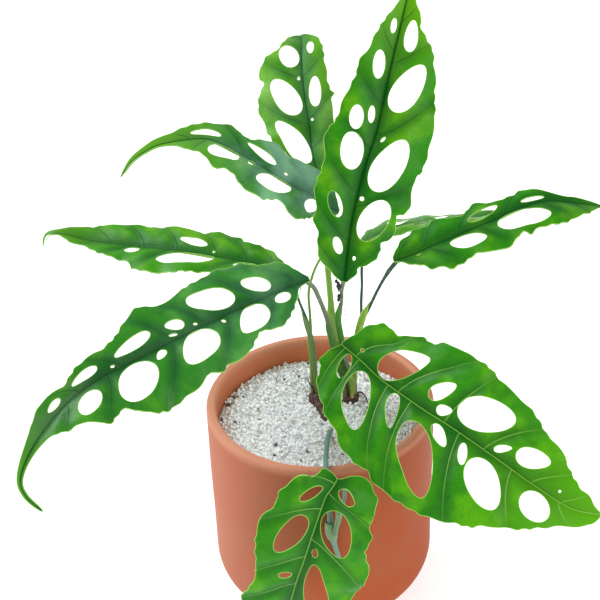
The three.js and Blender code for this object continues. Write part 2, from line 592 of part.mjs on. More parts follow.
function stalkBar(leaf, extra) {
  const curve = stalkCurve(leaf);
  const radiusAt = (t) => {
    const foot = THREE.MathUtils.smoothstep(t, 0, 0.22);
    const free = THREE.MathUtils.smoothstep(t, 0.3, 0.55);
    const knee = THREE.MathUtils.smoothstep(t, 0.88, 0.97);
    const sheath = THREE.MathUtils.lerp(STALK_FOOT_RADIUS, STALK_SHEATH_RADIUS, foot);
    const slim = THREE.MathUtils.lerp(sheath, STALK_RADIUS, free);
    return THREE.MathUtils.lerp(slim, STALK_KNEE_RADIUS, knee) + extra;
  };
  return bentBar(curve, radiusAt, STALK_SIDES, Math.round(curve.getLength() / STALK_STEP));
}

const plant = new THREE.Group();

const stalkTools = LEAVES.map((leaf) => stalkBar(leaf, GAP));
const runnerTool = runnerBar(GAP);
const rootTools = [rootstockBar(GAP), rootBar(GAP)];
plant.add(named("pot", potGeometry(), COLORS.terracotta, 0.62));
plant.add(named("soil", soilGeometry(rootTools), COLORS.soil, 0.95));
plant.add(named("granules", granuleGeometry([...rootTools, runnerTool]), COLORS.granules, 0.85));
plant.add(named("rootstock", rootstockGeometry([...stalkTools, runnerTool]), COLORS.bark, 0.8));
plant.add(named("runner", runnerBar(0), COLORS.stem, 0.5));
LEAVES.forEach((leaf) => {
  plant.add(named(`stalk_${leaf.name}`, stalkBar(leaf, 0), COLORS.stalk, 0.45));
  plant.add(named(`blade_${leaf.name}`, bladeGeometry(leaf), COLORS.blade, 0.4));
});

export default plant;
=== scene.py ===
"""A small climbing aroid with perforated leaves in a round terracotta pot topped with white granules.

Lengths in the tables are millimetres; meshes are made in metres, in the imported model's own frame:
+Z up, the origin under the middle of the pot, the viewer at -Y.
"""

from __future__ import annotations

import json
import logging
import math
import random
from bisect import bisect_right
from collections.abc import Callable, Iterable, Sequence
from dataclasses import dataclass
from enum import Enum

import bmesh
import bpy
from mathutils import Matrix, Vector, noise

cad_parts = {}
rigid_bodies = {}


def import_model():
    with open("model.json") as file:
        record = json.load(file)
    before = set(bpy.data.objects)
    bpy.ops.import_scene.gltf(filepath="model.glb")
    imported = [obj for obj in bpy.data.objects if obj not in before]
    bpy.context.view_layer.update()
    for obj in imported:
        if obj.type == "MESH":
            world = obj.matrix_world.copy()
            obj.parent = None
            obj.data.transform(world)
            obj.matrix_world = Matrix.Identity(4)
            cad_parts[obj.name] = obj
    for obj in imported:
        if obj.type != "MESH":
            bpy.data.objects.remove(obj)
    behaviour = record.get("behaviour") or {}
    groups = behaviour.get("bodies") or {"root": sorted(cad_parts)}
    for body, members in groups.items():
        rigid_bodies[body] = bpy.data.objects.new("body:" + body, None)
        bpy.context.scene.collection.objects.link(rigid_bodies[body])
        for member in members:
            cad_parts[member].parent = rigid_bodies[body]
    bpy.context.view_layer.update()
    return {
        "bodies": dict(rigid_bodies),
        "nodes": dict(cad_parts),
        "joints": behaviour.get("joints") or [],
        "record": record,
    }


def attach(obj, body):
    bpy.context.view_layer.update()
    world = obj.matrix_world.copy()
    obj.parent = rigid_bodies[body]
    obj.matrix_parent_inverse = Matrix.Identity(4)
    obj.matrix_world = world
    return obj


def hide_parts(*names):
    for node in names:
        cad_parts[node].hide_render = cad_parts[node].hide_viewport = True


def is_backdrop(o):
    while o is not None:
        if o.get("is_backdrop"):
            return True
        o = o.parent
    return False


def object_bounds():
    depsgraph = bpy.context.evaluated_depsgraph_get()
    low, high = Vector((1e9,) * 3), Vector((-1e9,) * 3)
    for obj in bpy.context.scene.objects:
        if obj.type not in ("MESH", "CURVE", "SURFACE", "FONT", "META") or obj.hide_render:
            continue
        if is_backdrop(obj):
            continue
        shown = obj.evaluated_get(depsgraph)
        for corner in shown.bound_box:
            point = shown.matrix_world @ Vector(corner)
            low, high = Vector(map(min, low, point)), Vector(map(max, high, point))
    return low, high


MM = 0.001
TO_METRES = Matrix.Scale(MM, 4)
WELD = 0.01 * MM
SHARP = math.radians(50.0)
SEED = 20
SHEATH_THICKNESS = 0.22 * MM
SLEEVE_SIDES = 20
MARGIN_SAMPLES = 16
BODY = "root"

log = logging.getLogger("potted_plant")

Point = tuple[float, float, float]
Spot = tuple[float, float]
Color = tuple[float, float, float, float]
Mesh = bmesh.types.BMesh
Layer = bmesh.types.BMLayerItem
Rings = list[list[bmesh.types.BMVert]]
Stone = tuple[Vector, float, float]


def tone(red: int, green: int, blue: int) -> Color:
    """Returns the linear colour of 8-bit screen values."""

    def linear(value: int) -> float:
        """Returns one channel without its screen curve."""
        share = value / 255
        return share / 12.92 if share <= 0.04045 else ((share + 0.055) / 1.055) ** 2.4

    return (linear(red), linear(green), linear(blue), 1.0)


def clamp(value: float) -> float:
    """Returns the value, held between 0 and 1."""
    return min(1.0, max(0.0, value))


def smooth_step(value: float, low: float, high: float) -> float:
    """Returns 0 below low, 1 above high and a smooth rise between them."""
    share = clamp((value - low) / (high - low))
    return share * share * (3 - 2 * share)


def blend(first: float, second: float, share: float) -> float:
    """Returns the value that lies share of the way from first to second."""
    return first + (second - first) * share


def hump(value: float, middle: float, spread: float) -> float:
    """Returns 1 at the middle, falling to 0 a few spreads away."""
    return math.exp(-(((value - middle) / spread) ** 2))


def steps(count: int, start: float = 0.0, end: float = 1.0) -> list[float]:
    """Returns count + 1 even steps from start to end."""
    return [start + (end - start) * i / count for i in range(count + 1)]


class Signal:
    """A socket of a node tree that takes part in arithmetic."""

    def __init__(self, shader: Shader, socket: bpy.types.NodeSocket) -> None:
        """Keeps the socket and the shader that it belongs to."""
        self.shader = shader
        self.socket = socket

    def _with(self, operation: str, *others: Value) -> Signal:
        """Returns the result of a Math node on this signal and others."""
        return self.shader.math(operation, self, *others)

    def __add__(self, other: Value) -> Signal:
        """Returns self + other."""
        return self._with("ADD", other)

    __radd__ = __add__

    def __sub__(self, other: Value) -> Signal:
        """Returns self - other."""
        return self._with("SUBTRACT", other)

    def __rsub__(self, other: Value) -> Signal:
        """Returns other - self."""
        return self.shader.math("SUBTRACT", other, self)

    def __mul__(self, other: Value) -> Signal:
        """Returns self * other."""
        return self._with("MULTIPLY", other)

    __rmul__ = __mul__

    def __abs__(self) -> Signal:
        """Returns the size of the signal without its sign."""
        return self._with("ABSOLUTE")

    def sine(self) -> Signal:
        """Returns the sine of the signal, which is in radians."""
        return self._with("SINE")

    def root(self) -> Signal:
        """Returns the square root of the signal."""
        return self._with("SQRT")

    def largest(self, other: Value) -> Signal:
        """Returns the larger of the two."""
        return self._with("MAXIMUM", other)

    def between(self, low: float, high: float) -> Signal:
        """Returns 0 below low, 1 above high and a smooth rise between them."""
        node = self.shader.add(
            "ShaderNodeMapRange",
            {"interpolation_type": "SMOOTHSTEP"},
            {"Value": self, "From Min": low, "From Max": high},
        )
        return Signal(self.shader, node.outputs["Result"])


Value = Signal | float | int | Sequence[float]


class Shader:
    """The node tree of one surface, built around its Principled node."""

    def __init__(self, name: str, constants: dict[str, Value]) -> None:
        """Makes the material and sets what is the same all over it.

        Args:
            name: The material's name.
            constants: Sockets of the Principled node and their values.
        """
        self.material = bpy.data.materials.new(name)
        self.material.use_nodes = True
        self.tree = self.material.node_tree
        self.surface = self.tree.nodes["Principled BSDF"]
        for socket, value in constants.items():
            self.surface.inputs[socket].default_value = value

    @classmethod
    def of_world(cls, world: bpy.types.World) -> Shader:
        """Returns a shader that works on a world's background."""
        world.use_nodes = True
        shader = cls.__new__(cls)
        shader.tree = world.node_tree
        shader.surface = world.node_tree.nodes["Background"]
        return shader

    def add(self, kind: str, settings: dict[str, object], inputs: dict[str | int, Value]) -> bpy.types.Node:
        """Adds a node.

        Args:
            kind: The node's type.
            settings: Its properties, which are set first.
            inputs: Its sockets' values or the signals that feed them.

        Returns:
            The new node.
        """
        node = self.tree.nodes.new(kind)
        for key, value in settings.items():
            setattr(node, key, value)
        for key, value in inputs.items():
            if isinstance(value, Signal):
                self.tree.links.new(value.socket, node.inputs[key])
            else:
                node.inputs[key].default_value = value
        return node

    def math(self, operation: str, *values: Value) -> Signal:
        """Returns the result of a Math node on the values."""
        node = self.add("ShaderNodeMath", {"operation": operation}, dict(enumerate(values)))
        return Signal(self, node.outputs[0])

    def mix(self, share: Value, first: Value, second: Value) -> Signal:
        """Returns the colour that lies share of the way from first to second."""
        node = self.add("ShaderNodeMix", {"data_type": "RGBA"}, {0: share, 6: first, 7: second})
        return Signal(self, node.outputs[2])

    def place(self) -> Signal:
        """Returns the place on the piece, in metres."""
        return Signal(self, self.add("ShaderNodeTexCoord", {}, {}).outputs["Object"])

    def stretched(self, place: Signal, scale: Point) -> Signal:
        """Returns the place scaled along each axis."""
        node = self.add("ShaderNodeMapping", {"vector_type": "POINT"}, {"Vector": place, "Scale": scale})
        return Signal(self, node.outputs[0])

    def attribute(self, name: str) -> Signal:
        """Returns a number that the mesh carries."""
        return Signal(self, self.add("ShaderNodeAttribute", {"attribute_name": name}, {}).outputs["Fac"])

    def split(self, vector: Signal) -> tuple[Signal, ...]:
        """Returns the three parts of a vector."""
        node = self.add("ShaderNodeSeparateXYZ", {}, {0: vector})
        return tuple(Signal(self, output) for output in node.outputs)

    def layer(self, name: str) -> tuple[Signal, ...]:
        """Returns both coordinates of a UV map."""
        node = self.add("ShaderNodeUVMap", {"uv_map": name}, {})
        return self.split(Signal(self, node.outputs[0]))[:2]

    def noise(self, place: Signal, size: float, detail: float = 3.0) -> Signal:
        """Returns soft noise from 0 to 1 whose spots are about size metres wide."""
        node = self.add("ShaderNodeTexNoise", {}, {"Vector": place, "Scale": 1 / size, "Detail": detail})
        return Signal(self, node.outputs[0])

    def net(self, place: Signal, size: float) -> Signal:
        """Returns how far a spot is from the edges of cells about size metres wide."""
        settings = {"feature": "DISTANCE_TO_EDGE"}
        node = self.add("ShaderNodeTexVoronoi", settings, {"Vector": place, "Scale": 1 / size})
        return Signal(self, node.outputs["Distance"])

    def feed(self, socket: str, value: Signal) -> None:
        """Feeds one socket of the surface."""
        self.tree.links.new(value.socket, self.surface.inputs[socket])

    def paint(self, base: Color, *coats: tuple[Value, Color]) -> None:
        """Feeds the base colour.

        Args:
            base: The undermost colour.
            coats: What lies over it, each as how much of it shows and its colour.
        """
        (share, coat), *others = coats
        color = self.mix(share, base, coat)
        for share, coat in others:
            color = self.mix(share, color, coat)
        self.feed("Base Color", color)

    def relief(self, height: Signal, depth: float, strength: float = 1.0) -> None:
        """Feeds the normal with a height from 0 to 1 that stands for depth metres."""
        bump = self.add("ShaderNodeBump", {}, {"Height": height, "Distance": depth, "Strength": strength})
        self.feed("Normal", Signal(self, bump.outputs[0]))


@dataclass(frozen=True)
class TerracottaFinish:
    """Smooth matte fired clay, mottled, with a painted highlight at the left and at the rim, and painted
    light on its inner wall.
    """

    clay: Color = tone(156, 80, 46)
    warm: Color = tone(162, 74, 38)
    painted_highlight: Color = tone(204, 144, 118)
    grain: Color = tone(134, 70, 46)
    lit: Color = tone(206, 124, 86)
    roughness: float = 0.62
    mottle: float = 0.03
    speck: float = 0.0013
    painted_lit_side: Spot = (-0.06, 0.01)
    inner_wall: Spot = (0.08, 0.1)
    inner_radius: Spot = (0.0535, 0.0555)
    rim: Spot = (0.112, 0.118)

    def material(self) -> bpy.types.Material:
        """Returns the clay material."""
        shader = Shader("terracotta", {"Specular IOR Level": 0.15})
        place = shader.place()
        cloud = shader.noise(place, self.mottle, 5)
        specks = shader.noise(place, self.speck, 2)
        across, depth, height = shader.split(place)
        out = (across * across + depth * depth).root()
        inside = (1 - out.between(*self.inner_radius)) * height.between(*self.inner_wall)
        shader.paint(
            self.clay,
            (cloud.between(0.3, 0.7), self.warm),
            # painted light: the left side is paler, as if lit from the left
            ((1 - across.between(*self.painted_lit_side)) * 0.35, self.painted_highlight),
            # painted light on the inner wall
            (inside * 0.8, self.lit),
            # painted highlight along the rim's top
            (height.between(*self.rim) * (0.45 + cloud * 0.4), self.painted_highlight),
            (specks.between(0.58, 0.8) * 0.35, self.grain),
        )
        shader.feed("Roughness", self.roughness + cloud * 0.2 - 0.1)
        shader.relief(specks * 0.6 + cloud * 0.4, 0.00025, 0.5)
        return shader.material


@dataclass(frozen=True)
class SoilFinish:
    """Damp dark potting mix."""

    dark: Color = tone(38, 27, 20)
    fibre: Color = tone(92, 66, 46)
    crumb: float = 0.003
    crumb_height: float = 0.0015

    def material(self) -> bpy.types.Material:
        """Returns the potting mix material."""
        shader = Shader("potting_mix", {"Specular IOR Level": 0.2})
        crumbs = shader.noise(shader.place(), self.crumb, 4)
        shader.paint(self.dark, (crumbs.between(0.45, 0.75), self.fibre))
        shader.feed("Roughness", 0.8 + crumbs * 0.2)
        shader.relief(crumbs, self.crumb_height)
        return shader.material


@dataclass(frozen=True)
class GranuleFinish:
    """Loose white mineral granules; tint on the mesh picks white, grey, beige or dark ones."""

    white: Color = tone(248, 248, 250)
    grey: Color = tone(206, 208, 212)
    beige: Color = tone(196, 178, 152)
    dark: Color = tone(98, 88, 80)
    grey_tint: Spot = (0.5, 0.95)
    beige_tint: Spot = (0.966, 0.972)
    dark_tint: Spot = (0.984, 0.986)
    pore: float = 0.0006
    pore_depth: float = 0.0003

    def material(self) -> bpy.types.Material:
        """Returns the granule material."""
        shader = Shader("white_granules", {"Specular IOR Level": 0.3})
        tint = shader.attribute("tint")
        pores = shader.noise(shader.place(), self.pore)
        shader.paint(
            self.white,
            (tint.between(*self.grey_tint) * 0.8, self.grey),
            (tint.between(*self.beige_tint), self.beige),
            (tint.between(*self.dark_tint), self.dark),
            (pores.between(0.5, 0.8) * 0.3, self.grey),
        )
        shader.feed("Roughness", 0.75 + pores * 0.2)
        shader.relief(pores, self.pore_depth)
        return shader.material


@dataclass(frozen=True)
class BarkFinish:
    """Brown ringed skin of the rootstock, its roots and dried scales."""

    name: str = "rootstock_bark"
    skin: Color = tone(104, 78, 66)
    old: Color = tone(58, 40, 36)
    papery: Color = tone(160, 132, 104)
    ring: float = 0.0016
    ring_depth: float = 0.0006
    stretch: Point = (0.6, 0.6, 2.4)
    blot: float = 0.005

    def material(self) -> bpy.types.Material:
        """Returns the bark material."""
        shader = Shader(self.name, {"Specular IOR Level": 0.3})
        place = shader.place()
        rings = shader.noise(shader.stretched(place, self.stretch), self.ring)
        blots = shader.noise(place, self.blot)
        shader.paint(
            self.old,
            (rings.between(0.4, 0.65), self.skin),
            (blots.between(0.55, 0.72) * 0.7, self.papery),
        )
        shader.feed("Roughness", 0.7 + rings * 0.25)
        shader.relief(rings, self.ring_depth)
        return shader.material


@dataclass(frozen=True)
class StalkFinish:
    """Fleshy green skin with fine streaks lengthwise; share on the mesh runs from foot to top."""

    name: str
    foot: Color
    middle: Color
    top: Color
    roughness: float = 0.42
    shade: Color = tone(58, 78, 44)
    pale: Color = tone(214, 222, 190)
    streak: float = 0.0007
    streak_depth: float = 0.0002
    stretch: Point = (1.0, 1.0, 0.08)
    fleck: float = 0.002
    foot_end: Spot = (0.02, 0.22)
    top_start: Spot = (0.45, 0.8)

    def material(self) -> bpy.types.Material:
        """Returns the stalk material."""
        shader = Shader(self.name, {"Specular IOR Level": 0.3})
        place = shader.place()
        share = shader.attribute("share")
        streaks = shader.noise(shader.stretched(place, self.stretch), self.streak, 2)
        flecks = shader.noise(place, self.fleck)
        shader.paint(
            self.foot,
            (share.between(*self.foot_end), self.middle),
            (share.between(*self.top_start), self.top),
            (streaks.between(0.5, 0.75) * 0.3, self.shade),
            (flecks.between(0.62, 0.72) * 0.25, self.pale),
        )
        shader.feed("Roughness", self.roughness + flecks * 0.2 - 0.1)
        shader.relief(streaks, self.streak_depth, 0.6)
        return shader.material


@dataclass(frozen=True)
class BladeFinish:
    """Upper side of a leaf: bright between the veins, deep green along them, partly its own colour and partly
    painted shade in the sunken grooves, with a pale thin margin.

    Widths from the rib and the veins, tip and the two ends of the painted sheen are millimetres along the
    leaf.
    """

    name: str
    bright: Color = tone(58, 136, 8)
    glow: Color = tone(112, 172, 10)
    # deep green, which is also the colour of the painted groove shade
    deep: Color = tone(16, 84, 20)
    line: Color = tone(12, 70, 24)
    margin: Color = tone(160, 206, 92)
    painted_sheen: Color = tone(150, 196, 184)
    glow_share: float = 0.55
    groove_shade_share: float = 0.95
    line_width: float = 0.42
    line_share: float = 0.9
    roughness: float = 0.38
    gloss: float = 0.13
    tip: Spot = (85.0, 150.0)
    painted_sheen_share: float = 0.0
    painted_sheen_ends: Spot = (30.0, 100.0)
    patch: float = 0.017
    blot: float = 0.009
    cell: float = 0.0021
    grain: float = 0.0024
    rib_shade: Spot = (0.6, 9.0)
    vein_shade: Spot = (0.2, 5.4)
    vein_line: Spot = (0.08, 0.34)
    relief_depth: float = 0.0004

    def material(self) -> bpy.types.Material:
        """Returns the upper leaf material."""
        shader = Shader(self.name, {"Specular IOR Level": self.gloss})
        along, across = shader.layer("leaf")
        lateral, outward = shader.layer("veins")
        out = abs(across)
        from_vein = abs(lateral)
        inner = 1 - outward.between(0.35, 1.0)
        place = shader.place()
        patches = shader.noise(place, self.patch, 2)
        blots = shader.noise(place, self.blot)
        grain = shader.noise(place, self.grain)
        cells = shader.net(place, self.cell)
        # painted shade in the sunken grooves beside the rib and the veins, over green that is partly the
        # leaf's own
        beside_vein = (1 - from_vein.between(*self.vein_shade)) * (0.45 + inner * 0.55)
        shade = (1 - out.between(*self.rib_shade)).largest(beside_vein * 0.9) * self.groove_shade_share
        rib_line = 1 - out.between(self.line_width - 0.2, self.line_width + 0.12)
        vein_line = (1 - from_vein.between(*self.vein_line)) * (0.25 + inner * 0.75) * 0.8
        near = 1 - along.between(*self.painted_sheen_ends)
        shader.paint(
            self.bright,
            (patches.between(0.46, 0.68) * self.glow_share, self.glow),
            (shade * (1.15 - patches * 0.5), self.deep),
            (blots.between(0.5, 0.75) * 0.45, self.deep),
            ((grain - 0.5) * 0.5, self.deep),
            ((1 - cells.between(0.0, 0.12)) * 0.16, self.deep),
            (along.between(*self.tip) * 0.75, self.glow),
            (rib_line.largest(vein_line) * self.line_share, self.line),
            # painted sheen in patches towards the leaf's base
            (patches.between(0.3, 0.7) * near * self.painted_sheen_share, self.painted_sheen),
            (shader.attribute("rim").between(0.25, 0.6) * 0.85, self.margin),
        )
        shader.feed("Roughness", self.roughness + grain * 0.16 - 0.08 + (along * 0.9).sine() * 0.01)
        groove = out.between(0.0, 0.9) * 0.6 + from_vein.between(0.0, 0.7) * 0.3
        shader.relief(groove + cells.between(0.0, 0.2) * 0.1 + grain * 0.1, self.relief_depth, 0.7)
        return shader.material


@dataclass(frozen=True)
class UndersideFinish:
    """Paler, duller lower side of a leaf, with the net of its veins."""

    skin: Color = tone(112, 164, 70)
    shade: Color = tone(88, 146, 48)
    vein: Color = tone(158, 196, 104)
    cell: float = 0.0021
    patch: float = 0.014
    rib: Spot = (0.5, 1.4)

    def material(self) -> bpy.types.Material:
        """Returns the lower leaf material."""
        shader = Shader("leaf_underside", {"Specular IOR Level": 0.35})
        _, across = shader.layer("leaf")
        place = shader.place()
        cells = shader.net(place, self.cell)
        patches = shader.noise(place, self.patch)
        shader.paint(
            self.skin,
            (patches.between(0.35, 0.7) * 0.5, self.shade),
            ((1 - cells.between(0.0, 0.1)) * 0.35, self.vein),
            ((1 - abs(across).between(*self.rib)) * 0.7, self.vein),
        )
        shader.feed("Roughness", 0.52 + patches * 0.15)
        shader.relief(1 - cells.between(0.0, 0.2), 0.0002, 0.6)
        return shader.material


@dataclass(frozen=True)
class FloorFinish:
    """Plain pale studio floor."""

    pale: Color = tone(246, 247, 249)
    shade: Color = tone(236, 238, 242)
    glow: float = 0.4
    cloud: float = 0.4

    def material(self) -> bpy.types.Material:
        """Returns the floor material."""
        shader = Shader(
            "studio_floor",
            {"Specular IOR Level": 0.0, "Emission Color": self.pale, "Emission Strength": self.glow},
        )
        cloud = shader.noise(shader.place(), self.cloud, 2)
        shader.paint(self.pale, (cloud * 0.05, self.shade))
        shader.feed("Roughness", 0.9 + cloud * 0.05)
        return shader.material


class Look(Enum):
    """How a leaf's upper side is coloured."""

    FRESH = BladeFinish(
        "leaf_fresh", bright=tone(44, 126, 6), glow=tone(92, 168, 6), deep=tone(22, 84, 18),
        line=tone(128, 180, 74), line_width=0.3, line_share=0.75,
    )
    UPRIGHT = BladeFinish(
        "leaf_upright", bright=tone(42, 126, 8), glow=tone(100, 168, 8), deep=tone(12, 80, 14), roughness=0.36
    )
    LUSH = BladeFinish(
        "leaf_lush", bright=tone(58, 136, 16), glow=tone(104, 166, 16), deep=tone(20, 86, 22), line_share=0.7
    )
    DEEP = BladeFinish(
        "leaf_deep", bright=tone(40, 120, 20), glow=tone(80, 154, 24), deep=tone(12, 74, 28), roughness=0.34,
        gloss=0.2, painted_sheen_share=0.1, tip=(125.0, 180.0),
    )
    SHEEN = BladeFinish(
        "leaf_sheen", bright=tone(58, 134, 26), glow=tone(98, 164, 30), deep=tone(22, 90, 40), roughness=0.32,
        gloss=0.2, painted_sheen_share=0.5, painted_sheen_ends=(25.0, 85.0), tip=(60.0, 110.0),
    )
    HAZY = BladeFinish(
        "leaf_hazy", bright=tone(86, 152, 20), glow=tone(128, 180, 22), deep=tone(40, 106, 30), painted_sheen_share=0.1
    )


class StalkLook(Enum):
    """How a stalk or a sheath is coloured: at its foot, in the middle and at its top."""

    LIGHT = StalkFinish("stalk_light", tone(150, 150, 96), tone(112, 154, 48), tone(104, 150, 52))
    DARK = StalkFinish("stalk_dark", tone(120, 124, 92), tone(62, 92, 58), tone(42, 76, 54))
    GREY = StalkFinish("stalk_grey", tone(92, 70, 64), tone(94, 108, 82), tone(104, 118, 92))
    SHEATH = StalkFinish("sheath_light", tone(156, 156, 96), tone(122, 164, 54), tone(132, 176, 58))
    SHEATH_GREY = StalkFinish("sheath_grey", tone(112, 112, 86), tone(100, 130, 78), tone(108, 142, 78))
    SHEATH_DARK = StalkFinish("sheath_dark", tone(104, 96, 60), tone(60, 122, 30), tone(66, 134, 30))
    RUNNER = StalkFinish("runner_skin", tone(98, 130, 112), tone(96, 134, 124), tone(112, 146, 128), 0.48)
    RUNNER_SHEATH = StalkFinish(
        "runner_sheath", tone(112, 138, 104), tone(120, 152, 108), tone(146, 168, 112)
    )


def spline(knots: Sequence[Vector], samples: int) -> list[Vector]:
    """Returns points of a smooth curve from the second knot to the last but one.

    Args:
        knots: The points that it passes, with one more at each end that only steers it.
        samples: How many points lie from knot to knot.

    Returns:
        The points, with both ends.
    """
    places = []
    for before, start, end, after in zip(knots, knots[1:], knots[2:], knots[3:]):
        leave = (end - before) / 2
        arrive = (after - start) / 2
        for step in range(samples):
            share = step / samples
            square, cube = share**2, share**3
            places.append(
                start * (2 * cube - 3 * square + 1)
                + leave * (cube - 2 * square + share)
                + end * (3 * square - 2 * cube)
                + arrive * (cube - square)
            )
    return [*places, knots[-2]]


class Path:
    """A smooth curve through points, measured by its length."""

    SAMPLES = 40
    REACH = 0.004

    def __init__(self, points: Iterable[Sequence[float]]) -> None:
        """Lays the curve through points in millimetres."""
        knots = [Vector(point) for point in points]
        knots = [2 * knots[0] - knots[1], *knots, 2 * knots[-1] - knots[-2]]
        self.places = spline(knots, self.SAMPLES)
        self.lengths = [0.0]
        for first, second in zip(self.places, self.places[1:]):
            self.lengths.append(self.lengths[-1] + (second - first).length)
        self.length = self.lengths[-1]

    def at(self, share: float) -> Vector:
        """Returns the point at a share of the curve's length."""
        wanted = clamp(share) * self.length
        low = min(bisect_right(self.lengths, wanted), len(self.lengths) - 1) - 1
        span = self.lengths[low + 1] - self.lengths[low]
        inside = (wanted - self.lengths[low]) / span if span else 0.0
        return self.places[low].lerp(self.places[low + 1], inside)

    def direction(self, share: float) -> Vector:
        """Returns the curve's direction at a share of its length."""
        return (self.at(share + self.REACH) - self.at(share - self.REACH)).normalized()


def margin_spline(points: Sequence[Spot], step: float) -> list[Vector]:
    """Returns evenly spaced points of a smooth open curve through flat points.

    Args:
        points: The points, in leaf coordinates.
        step: The spacing wanted.

    Returns:
        The spaced points, with both ends.
    """
    flat = [Vector((x, y, 0)) for x, y in points]
    dense = spline([flat[0], *flat, flat[-1]], MARGIN_SAMPLES)
    gathered = [dense[0]]
    travelled = 0.0
    for first, second in zip(dense, dense[1:]):
        travelled += (second - first).length
        if travelled >= step:
            gathered.append(second)
            travelled = 0.0
    if (gathered[-1] - dense[-1]).length < step / 2:
        gathered.pop()
    return [*gathered, dense[-1]]


@dataclass(frozen=True)
class Leaf:
    """One leaf: its blade in leaf coordinates, its veins and its stalk, in millimetres.

    rib runs along the midrib from the stalk to the tip, and face is the way the upper side looks at
    both ends. left and right are the margin as (along the rib, out from it). A hole is (along, across,
    length, width, turn in degrees, how pointed its outer end is), a pinhole the same without the last.
    A vein is (start along the rib, end along it, end out from it). sheath_end is the share of the stalk
    that the sheath clasps and sheath_width its radius there; girth scales the stalk's radius.
    """

    name: str
    half: float
    face: tuple[Point, Point]
    rib: tuple[Point, ...]
    left: tuple[Spot, ...]
    right: tuple[Spot, ...]
    veins_left: tuple[Point, ...]
    veins_right: tuple[Point, ...]
    holes: tuple[tuple[float, ...], ...]
    stalk: tuple[Point, ...]
    look: Look
    stalk_look: StalkLook
    sheath_look: StalkLook
    sheath_end: float
    girth: float
    sheath_width: float
    pinholes: tuple[tuple[float, ...], ...] = ()


